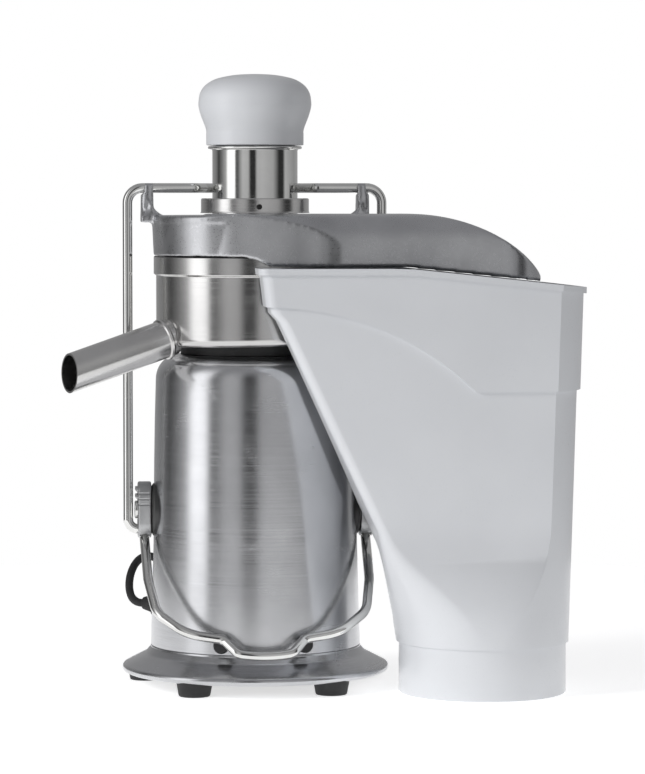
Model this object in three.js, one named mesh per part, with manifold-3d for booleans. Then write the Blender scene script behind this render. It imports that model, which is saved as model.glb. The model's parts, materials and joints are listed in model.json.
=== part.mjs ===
// Centrifugal juicer with a wire clamp and a separate pulp bin.
// Millimetres, +Z up, front towards -Y. The machine is built about its own rotor axis, then the whole
// assembly is moved so that the origin is the middle of its footprint.
import * as THREE from 'three';
import { mergeVertices } from 'three/addons/utils/BufferGeometryUtils.js';
import Module from 'manifold-3d';

const wasm = await Module();
wasm.setup();

// ---------- driving dimensions ----------
const gap = 0.3;                 // air between pieces that touch
const sides = 36;                // facets round the large turned pieces

const housingR = 84.4;           // motor housing, middle of the drum
const housingFootR = 87.2;
const housingShoulderR = 82.5;
const housingTop = 275;
const shoulderRadius = 21;
const housingWall = 3;
const housingFoot = 33;          // height of the seam between housing and flange

const flangeR = 110.8;
const flangeRimZ = 14.5;         // middle height of the rounded rim
const flangeRimRadius = 3.5;

const footCount = 5;
const footCircle = 95;
const footTopR = 15;
const footBottomR = 13;
const footHeight = 13;

const bowlR = 82;
const bowlBandR = 84;
const bowlBandZ = 341;
const bowlTop = 355.2;
const bowlFloorZ = 283.5;
const bowlWall = 1.6;
const bowlEdgeRadius = 7;
const bowlTilt = 1.4;            // degrees that the floor falls towards the spout

const spoutR = 15.5;
const spoutBore = 14;
const spoutTurn = 23.5;          // degrees forward from -X
const spoutPitch = 16.8;         // degrees down
const spoutReach = 170;          // from the rotor axis to the mouth
const spoutRootZ = 289;

const lidSkirtR = 84;
const lidRimR = 86;
const lidTop = 389.5;
const lidRim = 5.8;              // rim flange thickness
const lidWall = 3;
const earX = 89.5;
const earWidth = 10;
const earTop = 417;

const hoodTop = 391;
const hoodBend = 143;            // radius of the hood's falling back
const hoodBendX = 119;
const hoodNoseX = 229;
const hoodFrontY = -108;
const hoodRearY = -17;
const hoodWall = 3;

const collarR = 44.7;
const collarTop = 403.5;
const tubeR = 35.3;
const tubeWall = 1.5;
const tubeTop = 447;
const tubeBottom = 334;
const lipR = 39;
const pusherTop = 506;
const knobR = 46.7;
const neckR = 40.3;
const stemR = 32.9;

const wireR = 4;
const bailX = 105.7;
const bailTop = 412;
const pivotZ = 145.5;
const bailPinDrop = 16;
const leverInner = 86.8;
const leverThick = 11;
const leverHalfWidth = 13;
const leverHalfHeight = 23.5;
const handleX = 92.3;
const handleTopZ = 121.5;
const handleSlant = 1.21;        // how far forward the bow hangs for each unit that it drops
const handleShoulderZ = 47.2;
const handleDropZ = 34.2;

const binCentreX = 181;
const binCentreY = -69;
const binFootR = 68.5;
const binStepZ = 42;
const binWall = 2.6;
const binFrontY = -127;
const binRearY = -15;
const binRimZ = 347.5;
const binRimFall = 6.1;          // degrees that the rim falls towards its outer end
const binRimFlatX = 113;
const binLeftX = -3;
const binBandStep = 3;
const binClear = 91.5;           // radius about the machine that the bin keeps out of

const shaftR = 6;
const rotorR = 33;
const statorR = 60;
const statorZ = [112, 172];
const basketTopZ = 346;
const basketFloorZ = 306;
const basketTopR = 77;
const basketFloorR = 60;
const cordR = 3.4;

const rad = THREE.MathUtils.degToRad;
const v2 = (x, y) => new THREE.Vector2(x, y);
const v3 = (x, y, z) => new THREE.Vector3(x, y, z);

// ---------- materials ----------
const finish = (color, roughness, metalness) => ({ color, roughness, metalness });
const brushed = finish(0xa9acae, 0.35, 1);
const satin = finish(0xb9b8b3, 0.3, 1);
const cast = finish(0x9da1a5, 0.4, 1);
const polished = finish(0xd5d5d2, 0.08, 1);
const darkMetal = finish(0x3b3c3b, 0.45, 0.8);
const steel = finish(0x8b8d90, 0.4, 1);
const copper = finish(0xa65a2c, 0.4, 1);
const rubber = finish(0x161616, 0.75, 0);
const whitePlastic = finish(0xe6e8ec, 0.3, 0);
const blackPlastic = finish(0x1d1d1f, 0.45, 0);

// ---------- shape helpers ----------
// A closed three.js geometry as a manifold solid, turned right side out.
function solid(geometry) {
  const bare = geometry.index ? geometry.toNonIndexed() : geometry.clone();
  bare.deleteAttribute('normal');
  bare.deleteAttribute('uv');
  const merged = mergeVertices(bare, 1e-4);
  const build = (triVerts) => new wasm.Manifold(new wasm.Mesh({
    numProp: 3,
    vertProperties: merged.attributes.position.array,
    triVerts,
  }));
  const triVerts = new Uint32Array(merged.index.array);
  const made = build(triVerts);
  if (made.volume() > 0) return made;
  for (let i = 0; i < triVerts.length; i += 3) {
    [triVerts[i + 1], triVerts[i + 2]] = [triVerts[i + 2], triVerts[i + 1]];
  }
  return build(triVerts);
}

function toGeometry(body) {
  const mesh = body.getMesh();
  const geometry = new THREE.BufferGeometry();
  geometry.setAttribute('position', new THREE.BufferAttribute(new Float32Array(mesh.vertProperties), 3));
  geometry.setIndex(new THREE.BufferAttribute(new Uint32Array(mesh.triVerts), 1));
  geometry.computeVertexNormals();
  return geometry;
}

// Points [radius, height] turned about Z. A profile that leaves the axis closes on itself.
function turned(points, facets = sides) {
  const onAxis = points[0][0] === 0 && points.at(-1)[0] === 0;
  const outline = points.map(([r, z]) => v2(r, z));
  if (!onAxis) outline.push(outline[0].clone());
  return solid(new THREE.LatheGeometry(outline, facets).rotateX(Math.PI / 2));
}

const ring = (inner, outer, low, high, facets = sides) => turned(
  [[inner, low], [outer, low], [outer, high], [inner, high]], facets);
const disc = (radius, low, high, facets = sides) => turned(
  [[0, low], [radius, low], [radius, high], [0, high]], facets);

// An arc of a profile, from one angle to another in degrees.
function arc(cx, cz, radius, from, to, steps = 5) {
  const points = [];
  for (let i = 0; i <= steps; i++) {
    const a = rad(from + (to - from) * i / steps);
    points.push([cx + radius * Math.cos(a), cz + radius * Math.sin(a)]);
  }
  return points;
}

const shapeOf = (points) => new THREE.Shape(points.map(([x, y]) => v2(x, y)));

// Outlines pushed along Z, along Y (outline in X and Z) or along X (outline in Y and Z).
const pushedZ = (points, low, high) => solid(
  new THREE.ExtrudeGeometry(shapeOf(points), { depth: high - low, bevelEnabled: false })
    .translate(0, 0, low));
const pushedY = (points, low, high) => solid(
  new THREE.ExtrudeGeometry(shapeOf(points), { depth: high - low, bevelEnabled: false })
    .rotateX(Math.PI / 2).translate(0, high, 0));
const pushedX = (points, low, high) => solid(
  new THREE.ExtrudeGeometry(shapeOf(points), { depth: high - low, bevelEnabled: false })
    .rotateX(Math.PI / 2).rotateZ(Math.PI / 2).translate(low, 0, 0));
const block = (x0, y0, z0, x1, y1, z1) => solid(
  new THREE.BoxGeometry(x1 - x0, y1 - y0, z1 - z0)
    .translate((x0 + x1) / 2, (y0 + y1) / 2, (z0 + z1) / 2));

// A round bar along X.
const barX = (radius, x0, x1, y, z, facets = 24) => solid(
  new THREE.CylinderGeometry(radius, radius, x1 - x0, facets)
    .rotateZ(Math.PI / 2).translate((x0 + x1) / 2, y, z));

// A path through given points whose steps fall on those points.
class StepPath extends THREE.Curve {
  constructor(points) {
    super();
    this.points = points;
  }

  getPoint(t, target = v3(0, 0, 0)) {
    const last = this.points.length - 1;
    const at = Math.min(last - 1, Math.max(0, Math.floor(t * last)));
    return target.lerpVectors(this.points[at], this.points[at + 1], t * last - at);
  }

  getUtoTmapping(u) {
    return u;
  }
}

function swept(points, radius, facets = 8) {
  const section = [];
  for (let i = 0; i < facets; i++) {
    const a = 2 * Math.PI * (i + 0.5) / facets;
    section.push([radius * Math.cos(a), radius * Math.sin(a)]);
  }
  return solid(new THREE.ExtrudeGeometry(shapeOf(section), {
    steps: points.length - 1,
    extrudePath: new StepPath(points),
    bevelEnabled: false,
  }));
}

// A bent wire: corners [point, bend radius, steps].
function bent(corners) {
  const path = [corners[0][0]];
  for (let i = 1; i < corners.length - 1; i++) {
    const [corner, radius, steps] = corners[i];
    const back = corners[i - 1][0].clone().sub(corner).normalize();
    const ahead = corners[i + 1][0].clone().sub(corner).normalize();
    const half = back.angleTo(ahead) / 2;
    const centre = corner.clone().add(
      back.clone().add(ahead).normalize().multiplyScalar(radius / Math.sin(half)));
    const start = corner.clone().addScaledVector(back, radius / Math.tan(half)).sub(centre);
    const end = corner.clone().addScaledVector(ahead, radius / Math.tan(half)).sub(centre);
    const sweep = start.angleTo(end);
    for (let s = 0; s <= steps; s++) {
      const a = sweep * s / steps;
      const from = start.clone().multiplyScalar(Math.sin(sweep - a) / Math.sin(sweep));
      const to = end.clone().multiplyScalar(Math.sin(a) / Math.sin(sweep));
      path.push(centre.clone().add(from).add(to));
    }
  }
  path.push(corners.at(-1)[0]);
  return path;
}

const juicer = new THREE.Group();
const freeCord = [];

function add(name, body, look) {
  const mesh = new THREE.Mesh(toGeometry(body), new THREE.MeshStandardMaterial(look));
  mesh.name = name;
  juicer.add(mesh);
  return mesh;
}

// ---------- base ----------
const spigotR = housingFootR - housingWall - 1;
const flangeProfile = [
  [spigotR - 3, housingFoot + 8],
  [spigotR - 3, 20],
  [flangeR - 10, flangeRimZ - flangeRimRadius],
  ...arc(flangeR - flangeRimRadius, flangeRimZ, flangeRimRadius, -90, 62, 4),
  [housingFootR + 4, 27],
  [housingFootR + 0.6, 29.5],
  [housingFootR, housingFoot],
  [spigotR, housingFoot],
  [spigotR, housingFoot + 8],
];
const coverR = spigotR - 3 - gap;
const coverZ = 20 - gap;
add('base_flange', turned(flangeProfile), brushed);

let cover = disc(coverR, coverZ - 2.5, coverZ);
const ventRing = 46;
for (let i = 0; i < 10; i++) {
  const slot = block(ventRing - 12, -3, coverZ - 4, ventRing + 12, 3, coverZ + 1);
  cover = cover.subtract(slot.rotate([0, 0, 36 * i]));
}
const coverScrewRing = 72;
for (let i = 0; i < 4; i++) {
  const a = rad(45 + 90 * i);
  const x = coverScrewRing * Math.cos(a);
  const y = coverScrewRing * Math.sin(a);
  cover = cover.subtract(disc(2.4, coverZ - 4, coverZ + 1, 12).translate([x, y, 0]));
  const screw = turned([[0, coverZ - 5], [3, coverZ - 5], [4, coverZ - 2.5 - gap],
    [2, coverZ - 2.5 - gap], [2, coverZ + 6], [0, coverZ + 6]], 12);
  add(`cover_screw_${i + 1}`, screw.translate([x, y, 0]), steel);
}
add('base_cover', cover, darkMetal);

// Each foot is trimmed to the underside of the flange.
const underFlange = turned(flangeProfile.map(([r, z]) => [r + (r > 90 ? gap : 0), z - gap]))
  .add(turned(flangeProfile));
for (let i = 0; i < footCount; i++) {
  const a = rad(18 + 360 / footCount * i);
  const foot = turned([[0, 0], [footBottomR - 1, 0], [footBottomR, 1], [footTopR, footHeight],
    [footTopR - 3, footHeight + 3], [0, footHeight + 3]], 12)
    .translate([footCircle * Math.cos(a), footCircle * Math.sin(a), 0]);
  add(`rubber_foot_${i + 1}`, foot.subtract(underFlange), rubber);
}

// ---------- motor housing ----------
const shoulderArc = arc(housingShoulderR - shoulderRadius, housingTop - shoulderRadius,
  shoulderRadius, 0, 90, 5);
const innerArc = arc(housingShoulderR - shoulderRadius, housingTop - shoulderRadius,
  shoulderRadius - housingWall, 90, 0, 3);
const neckHole = 22;
let housing = turned([
  [housingFootR, housingFoot + gap],
  [housingR + 0.3, 118],
  [housingR - 0.4, 188],
  ...shoulderArc,
  [neckHole, housingTop],
  [neckHole, housingTop - housingWall],
  ...innerArc,
  [housingR - housingWall, 118],
  [housingFootR - housingWall, housingFoot + gap],
]);
const glandTurn = 148;
const glandZ = 61;
const glandR = 8;
const switchTurn = 62;
const switchZ = 92;
const outward = (body, turn, z) => body.rotate([0, 0, turn]).translate([0, 0, z]);
housing = housing.subtract(outward(barX(glandR * 0.7, 60, 100, 0, 0, 16), glandTurn, glandZ));
housing = housing.subtract(outward(block(60, -9, -13, 100, 9, 13), switchTurn, switchZ));
add('motor_housing', housing, brushed);
const housingSkin = turned([[0, 0], [flangeR, 0], [flangeR, 20], [housingFootR + gap + 0.2, housingFoot],
  [housingR + 0.3 + gap, 118], [housingR - 0.4 + gap, 188],
  ...shoulderArc.map(([r, z]) => [r + gap, z + gap]), [0, housingTop + gap]]);

// ---------- motor ----------
const lowBracketZ = 66;
const highBracketZ = 218;
const bearingR = 16;
for (const [level, z] of [['lower', lowBracketZ], ['upper', highBracketZ]]) {
  const outer = housingShoulderR - housingWall - 3 * gap;
  let bracket = turned([[bearingR + gap, z - 7], [bearingR + 6, z - 7], [bearingR + 6, z - 3],
    [outer, z - 3], [outer, z + 3], [bearingR + 6, z + 3], [bearingR + 6, z + 7],
    [bearingR + gap, z + 7]], 24);
  for (let i = 0; i < 4; i++) {
    bracket = bracket.subtract(disc(13, z - 8, z + 8, 10).translate([48, 0, 0]).rotate([0, 0, 45 + 90 * i]));
  }
  add(`${level}_bearing_bracket`, bracket, cast);
  add(`${level}_bearing`, ring(shaftR + gap, bearingR, z - 6, z + 6, 16), steel);
}
add('motor_stator', ring(rotorR + 1, statorR, statorZ[0], statorZ[1], 24), steel);
add('lower_winding', ring(rotorR + 4, statorR - 6, statorZ[0] - 18, statorZ[0] - gap, 16), copper);
add('upper_winding', ring(rotorR + 4, statorR - 6, statorZ[1] + gap, statorZ[1] + 18, 16), copper);
add('motor_rotor', ring(shaftR + gap, rotorR, statorZ[0] - 4, statorZ[1] + 4, 20), steel);

const hubZ = 296;
add('motor_shaft', turned([[0, 54], [shaftR, 54], [shaftR, hubZ + 4], [shaftR - 1, hubZ + 6],
  [shaftR - 1, basketFloorZ + 20], [0, basketFloorZ + 20]], 14), steel);
let fan = ring(shaftR + gap, 14, 84, 92, 20);
for (let i = 0; i < 7; i++) {
  const blade = block(10, -1, 84.5, 50, 1, 91.5).rotate([28, 0, 360 / 7 * i]);
  fan = fan.add(block(10, -1.2, 80.5, 50, 1.2, 91.5).rotate([0, 0, 360 / 7 * i]).intersect(
    ring(9, 50, 80, 92, 28)).add(blade.intersect(ring(9, 12, 84, 92, 20))));
}
add('cooling_fan', fan, blackPlastic);
add('run_capacitor', solid(new THREE.CylinderGeometry(16, 16, 46, 20)).rotate([0, 0, 30])
  .translate([26, -44, 40]), blackPlastic);
add('terminal_block', block(-58, 28, coverZ + gap, -30, 44, coverZ + 18), whitePlastic);
add('shaft_seal', ring(shaftR + gap, neckHole - gap, housingTop - 6, housingTop + 2, 24), rubber);

// ---------- bowl ----------
// Everything low on the bowl drops towards the spout.
const spoutDir = v3(-Math.cos(rad(spoutTurn)), -Math.sin(rad(spoutTurn)), 0);
const tiltFloor = (body) => body.warp((p) => {
  const low = THREE.MathUtils.clamp((bowlBandZ - 8 - p[2]) / 30, 0, 1);
  p[2] -= low * Math.tan(rad(bowlTilt)) * (p[0] * spoutDir.x + p[1] * spoutDir.y);
});
const seatR = 62;
const seatTop = bowlFloorZ - gap;
const chimneyR = 20;
const edge = arc(bowlR - bowlEdgeRadius, bowlFloorZ + bowlEdgeRadius, bowlEdgeRadius, -90, 0, 3);
const innerEdge = arc(bowlR - bowlEdgeRadius, bowlFloorZ + bowlEdgeRadius,
  bowlEdgeRadius - bowlWall, 0, -90, 2);
const bowlBody = turned([
  [chimneyR, bowlFloorZ],
  ...edge,
  [bowlR, bowlBandZ - 30],
  [bowlR, bowlBandZ - 1.5],
  [bowlBandR, bowlBandZ],
  [bowlBandR, bowlTop],
  [bowlBandR - bowlWall, bowlTop],
  [bowlBandR - bowlWall, bowlBandZ + 1.5],
  [bowlR - bowlWall, bowlBandZ - 1],
  [bowlR - bowlWall, bowlBandZ - 30],
  ...innerEdge,
  [chimneyR + bowlWall, bowlFloorZ + bowlWall],
  [chimneyR + bowlWall, bowlFloorZ + 8],
  [chimneyR, bowlFloorZ + 8],
]);
// The spout's own frame: X along the bore, downhill and outward.
const alongSpout = (body) => body.rotate([0, spoutPitch, 0])
  .rotate([0, 0, 180 + spoutTurn]).translate([spoutDir.x * bowlR, spoutDir.y * bowlR, spoutRootZ]);
// The bore stops at the bowl's floor, so the tube stays closed where it hangs below the bowl.
const belowFloor = disc(bowlR + 5, 150, bowlFloorZ - 0.5);
const spoutHole = alongSpout(barX(spoutBore, -30, 30, 0, 0, 20)).subtract(belowFloor);
const bowlForm = tiltFloor(turned([[0, bowlFloorZ - gap],
  ...arc(bowlR - bowlEdgeRadius, bowlFloorZ + bowlEdgeRadius, bowlEdgeRadius + gap, -90, 0, 3),
  [bowlR + gap, bowlBandZ - 30], [bowlR + gap, bowlTop], [0, bowlTop]]));
const spoutRootKeep = disc(bowlR - bowlEdgeRadius, 150, 400);
const plumbCut = block(spoutReach, -60, 150, spoutReach + 90, 60, 350).rotate([0, 0, 180 + spoutTurn]);
const spoutTube = alongSpout(barX(spoutR, -30, 130, 0, 0, 24).add(
  turned([[spoutR - 1, 0], [spoutR + 1.6, 1.5], [spoutR + 1.6, 3.5], [spoutR - 1, 5]], 24)
    .rotate([0, 90, 0]).translate([0.5, 0, 0])));
const spoutBoreBar = alongSpout(barX(spoutBore, -40, 140, 0, 0, 24)).subtract(belowFloor);
add('juice_bowl', tiltFloor(bowlBody).subtract(spoutHole), satin);
add('juice_spout', spoutTube.subtract(spoutBoreBar).subtract(bowlForm).subtract(spoutRootKeep)
  .subtract(plumbCut), satin);
add('bowl_seat_ring', tiltFloor(ring(seatR - 8, seatR, housingTop + gap, seatTop)).subtract(
  disc(90, housingTop - 20, housingTop + gap)), rubber);

// ---------- rotating basket ----------
add('drive_hub', ring(shaftR + gap, 17, hubZ - 4, basketFloorZ - 2 - gap, 24), cast);
add('strainer_basket', turned([[24, basketFloorZ - 2], [basketFloorR, basketFloorZ - 2],
  [basketFloorR + 2, basketFloorZ], [basketTopR, basketTopZ - 2], [basketTopR + 2, basketTopZ - 2],
  [basketTopR + 2, basketTopZ], [basketTopR - 1.5, basketTopZ], [basketFloorR, basketFloorZ + 0.5],
  [24, basketFloorZ + 0.5]], 28).add(
  ring(shaftR + gap, 26, basketFloorZ - 2, basketFloorZ + 0.5, 24)), steel);
let grater = ring(shaftR + gap, basketFloorR - 8, basketFloorZ + 0.5 + gap, basketFloorZ + 3, 36);
for (let i = 0; i < 12; i++) {
  const tooth = pushedZ([[0, 0], [2, 1], [2, -1]], basketFloorZ + 2, basketFloorZ + 5);
  grater = grater.add(tooth.translate([22 + 9 * (i % 3), 0, 0]).rotate([0, 0, 30 * i]));
}
add('grater_disc', grater, steel);
add('basket_nut', turned([[shaftR + gap, basketFloorZ + 3 + gap], [13, basketFloorZ + 3 + gap],
  [13, basketFloorZ + 8], [9, basketFloorZ + 12], [9, basketFloorZ + 22], [0, basketFloorZ + 24],
  [0, basketFloorZ + 20 + gap], [shaftR + gap, basketFloorZ + 20 + gap]], 16)
  .subtract(disc(shaftR + gap, basketFloorZ - 10, basketFloorZ + 20 + gap, 20)), steel);

// ---------- lid and pulp hood, one casting ----------
const skirtBottom = bowlTop + 0.4 + gap;
const hoodFootZ = (x) => binRimZ + 0.7 - Math.max(0, x - binRimFlatX) * Math.tan(rad(binRimFall));
const hoodMiddleY = (hoodFrontY + hoodRearY) / 2;
const hoodHalf = (hoodRearY - hoodFrontY) / 2;

// The hood seen from the front: flat top, then a round back that falls to its nose. Its lower edge is
// level with the skirt's, then rolls down to the bin.
const hoodLeftX = -45;
const hoodRollX = -16;
const hoodRollEnd = 5;
function hoodSide(inset) {
  const radius = hoodBend - inset;
  const noseX = hoodNoseX - inset;
  const reach = Math.acos((noseX - hoodBendX) / radius) * 180 / Math.PI;
  return [[hoodLeftX + inset, hoodTop - inset],
    ...arc(hoodBendX, hoodTop - hoodBend, radius, 90, reach, 9),
    [noseX, hoodFootZ(noseX)], [binRimFlatX, hoodFootZ(binRimFlatX)], [hoodRollEnd, hoodFootZ(0)],
    [hoodRollX + 12, skirtBottom - 3], [hoodRollX, skirtBottom], [hoodLeftX + inset, skirtBottom]];
}

// A cross-section of the hood's tunnel with rounded shoulders, low enough to miss nothing below.
function hoodSection(inset) {
  const round = 26 - inset;
  const top = hoodTop - inset;
  return [[hoodFrontY + inset, 300], ...arc(hoodFrontY + inset + round, top - round, round, 180, 90, 5),
    ...arc(hoodRearY - inset - round, top - round, round, 90, 0, 5), [hoodRearY - inset, 300]];
}

// From above: the front wall runs off the lid's rim and the nose is rounded.
function hoodPlan(inset) {
  const round = hoodHalf - inset;
  const noseX = hoodNoseX - inset - round * 0.8;
  return [[hoodLeftX + inset, hoodRearY - inset], [hoodLeftX + inset, -70 + inset], [-30, -80 + inset],
    [-16, -87 + inset], [5, -94 + inset], [30, -101 + inset], [60, hoodFrontY + inset],
    ...arc(0, hoodMiddleY, round, -90, 90, 8).map(([x, y]) => [noseX + x * 0.8, y])];
}
const hoodForm = (inset) => pushedY(hoodSide(inset), hoodFrontY - 5, hoodRearY + 5)
  .intersect(pushedX(hoodSection(inset), -40, 300))
  .intersect(pushedZ(hoodPlan(inset), 280, 420));

const lidForm = turned([[0, skirtBottom], [lidSkirtR, skirtBottom], [lidSkirtR + 1.3, lidTop - lidRim],
  [lidRimR, lidTop - lidRim], [lidRimR + 0.3, lidTop - 1.5], [lidRimR - 1.2, lidTop], [0, lidTop]]);
const lidHollow = turned([[0, skirtBottom - 5], [lidSkirtR - lidWall, skirtBottom - 5],
  [lidSkirtR - lidWall, lidTop - lidRim - 6], [lidSkirtR - lidWall - 6, lidTop - lidRim],
  [0, lidTop - lidRim]], 36);
const tubeHole = disc(tubeR + gap, 300, 500, 36);

// An ear stands on each side: a seat for the wire with a hook wall in front of it.
const seatZ = bailTop - wireR - gap;
const earOutline = [[-15, lidTop - lidRim], [14, lidTop - lidRim], [14, lidTop], [8.5, lidTop + 4],
  [7, seatZ], [-wireR - 0.6, seatZ], [-wireR - 0.8, earTop], [-wireR - 4, earTop - 1.5],
  [-wireR - 6.5, lidTop + 6], [-15, lidTop]];
const ear = pushedX(earOutline, earX - earWidth / 2, earX + earWidth / 2);
const earRoot = block(76, -15, lidTop - lidRim, earX + earWidth / 2, 14, lidTop);
const ears = ear.add(earRoot).add(ear.add(earRoot).mirror([1, 0, 0]));
const bowlKeepOut = disc(bowlBandR + 1.2, 250, skirtBottom, sides);
let lid = lidForm.add(hoodForm(0)).add(ears);
lid = lid.subtract(lidHollow).subtract(hoodForm(hoodWall).subtract(disc(60, 300, 500)));
lid = lid.subtract(hoodForm(hoodWall).intersect(block(-60, -120, 280, 260, 0, lidTop - lidRim)));
lid = lid.subtract(tubeHole).subtract(bowlKeepOut);
const lidParts = lid.decompose().sort((a, b) => b.volume() - a.volume());
add('lid', lidParts[0], cast);
add('lid_gasket', ring(bowlBandR - 1.5, bowlBandR - 0.2, bowlTop + 0.15, bowlTop + 0.15 + 0.3), rubber);

// ---------- feed collar, tube and pusher ----------
let collar = turned([[tubeR + gap, lidTop + gap], [collarR + 1.5, lidTop + gap], [collarR, lidTop + 2],
  [collarR, collarTop - 1], [collarR - 1, collarTop], [tubeR + gap, collarTop]]);
const setScrewZ = lidTop + 7;
const front = (body) => body.rotate([0, 0, -90]);
collar = collar.subtract(front(barX(2.3, 30, 60, 0, setScrewZ, 12)))
  .subtract(disc(collarR + 5, 300, hoodTop + gap));
add('feed_collar', collar.subtract(hoodForm(0)), satin);
add('collar_set_screw', front(barX(2, tubeR + 2 * gap, collarR - 1.2, 0, setScrewZ, 12)), darkMetal);
const tubeIn = tubeR - tubeWall;
add('feed_tube', turned([[tubeR, tubeBottom], [tubeR, tubeTop - 4], [lipR - 0.8, tubeTop - 2.6],
  [lipR, tubeTop - 1.6], [lipR - 0.6, tubeTop - 0.6], [lipR - 2.5, tubeTop - 0.4], [tubeIn, tubeTop - 2.4],
  [tubeIn, tubeBottom]], 28), polished);
const knobBottom = tubeTop + gap;
add('pusher_knob', turned([[0, knobBottom], [neckR - 1, knobBottom], [neckR, knobBottom + 1],
  [neckR, knobBottom + 12], [neckR + 1.2, knobBottom + 16], [neckR + 4.4, knobBottom + 24],
  [knobR, knobBottom + 34], [knobR - 1.2, knobBottom + 43], [knobR - 5.5, knobBottom + 49.5],
  [knobR - 14, pusherTop - 4], [knobR - 27, pusherTop - 1], [0, pusherTop]], 32), whitePlastic);
const stemBottom = 352;
add('pusher_stem', turned([[0, stemBottom], [stemR - 2, stemBottom], [stemR, stemBottom + 3],
  [stemR, knobBottom - gap], [0, knobBottom - gap]], 32), whitePlastic);

// ---------- clamp ----------
const bossR = 22;
const bossOut = leverInner - gap;
const leverTop = pivotZ + leverHalfHeight;
const roundEnd = leverHalfHeight - leverHalfWidth;
const stadium = [
  ...arc(0, pivotZ + roundEnd, leverHalfWidth, 0, 180, 8),
  ...arc(0, pivotZ - roundEnd, leverHalfWidth, 180, 360, 8),
];
const pinR = 5;
for (const [side, sign] of [['left', -1], ['right', 1]]) {
  const mirrored = (body) => (sign < 0 ? body.mirror([1, 0, 0]) : body);
  const boss = barX(bossR, 70, bossOut, 0, pivotZ, 28).subtract(housingSkin)
    .subtract(barX(pinR + gap, 60, 100, 0, pivotZ, 16));
  add(`${side}_pivot_boss`, mirrored(boss.decompose().sort((a, b) => b.volume() - a.volume())[0]), darkMetal);
  let lever = pushedX(stadium, leverInner, leverInner + leverThick);
  for (let i = 0; i < 2; i++) {
    lever = lever.add(block(leverInner + leverThick - 1, -leverHalfWidth + 5, leverTop - 8 - 6 * i,
      leverInner + leverThick + 2, leverHalfWidth - 5, leverTop - 4.5 - 6 * i));
  }
  lever = lever.subtract(barX(pinR + gap, 60, 110, 0, pivotZ, 16))
    .subtract(barX(wireR + 0.5, leverInner + 1, 110, 0, pivotZ - bailPinDrop, 16))
    .subtract(block(handleX - wireR - gap, -wireR - gap - 30, pivotZ - leverHalfHeight - 5,
      handleX + wireR + gap, wireR + gap, pivotZ - leverHalfHeight + 3.5));
  add(`${side}_clamp_lever`, mirrored(lever), steel);
  add(`${side}_pivot_pin`, mirrored(barX(pinR, housingR + 2 * gap, leverInner + leverThick + 0.5, 0, pivotZ, 16).add(
    barX(pinR + 2.5, leverInner + leverThick + 0.3, leverInner + leverThick + 2.6, 0, pivotZ, 16))
  ), steel);
}

const bailPinZ = pivotZ - bailPinDrop;
const hugR = tubeR + wireR + 1.2;
const bailHalf = [
  [v3(leverInner + 2, 0, bailPinZ)],
  [v3(bailX, 0, bailPinZ), 8, 4],
  [v3(bailX, 0, bailTop), 12.5, 5],
  [v3(hugR + 9, 0, bailTop), 6, 3],
  [v3(hugR + 1, hugR * 0.5, bailTop), 10, 2],
  [v3(hugR * 0.62, hugR * 1.02, bailTop), 16, 3],
];
const mirrorX = (p) => v3(-p.x, p.y, p.z);
const bailCorners = [...bailHalf, ...bailHalf.slice().reverse().map(([p, r, n]) => [mirrorX(p), r, n])];
add('clamp_bail', swept(bent(bailCorners), wireR), polished);

const onBow = (x, z) => v3(x, -handleSlant * (handleTopZ - z), z);
const handleHalf = [
  [onBow(handleX, handleTopZ)],
  [onBow(handleX - 1, handleShoulderZ + 43), 50, 2],
  [onBow(handleX - 6.5, handleShoulderZ + 19.5), 25, 3],
  [onBow(62, handleShoulderZ + 4), 45, 2],
  [onBow(33, handleShoulderZ), 9, 3],
  [onBow(22, handleDropZ + 2.8), 9, 3],
];
const handleCorners = [...handleHalf, [onBow(0, handleDropZ), 90, 2],
  ...handleHalf.slice().reverse().map(([p, r, n]) => [mirrorX(p), r, n])];
add('clamp_handle', swept(bent(handleCorners), wireR), polished);

for (const [side, turn] of [['left', -90 - 23], ['right', -90 + 23]]) {
  const buffer = outward(barX(6.5, 78, housingFootR + 3, 0, 0, 18), turn, 41).subtract(housingSkin);
  add(`${side}_rest_buffer`, buffer, rubber);
}

// ---------- power switch on the side away from the front ----------
const switchFrame = block(housingR - 8, -14, -18, housingR + 4, 14, 18)
  .subtract(block(housingR - 20, -8, -12, housingR + 10, 8, 12));
add('switch_frame', outward(switchFrame, switchTurn, switchZ).subtract(housingSkin), blackPlastic);
const rockerHinge = housingR - 1;
const rocker = pushedY([[housingR - 4, -11], [housingR + 4.5, -11], [housingR + 2.2, 0],
  [housingR + 4.5, 11], [housingR - 4, 11], [housingR - 7, 0]], -7.4, 7.4);
add('switch_rocker', outward(rocker, switchTurn, switchZ), darkMetal);

// ---------- pulp bin ----------
// Outer outline at a height: straight front, round outer end, straight rear, left end set by the slanted wall.
const slant = [[42, 114], [64, 109.5], [83, 103.8], [110, 96], [136, 89.2], [305, 9.5], [312, binLeftX + 6], [360, binLeftX]];
function slantX(z) {
  for (let i = 1; i < slant.length; i++) {
    const [z0, x0] = slant[i - 1];
    const [z1, x1] = slant[i];
    if (z <= z1) return x0 + (x1 - x0) * (z - z0) / (z1 - z0);
  }
  return binLeftX;
}
const bodyR = (z) => 70.6 + (z - binStepZ) * 0.029;
// Low down the bin is round like its foot; front and rear flatten as they rise.
const binRoundTo = 140;
const roundness = (z) => 1 - THREE.MathUtils.smoothstep(z, binStepZ, binRoundTo);
const frontOf = (z) => THREE.MathUtils.lerp(
  binFrontY + 0.012 * (340 - z), binCentreY - bodyR(z) + 0.2, roundness(z));
const rearOf = (z) => THREE.MathUtils.lerp(binRearY, binCentreY + bodyR(z) - 0.2, roundness(z));

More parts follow.
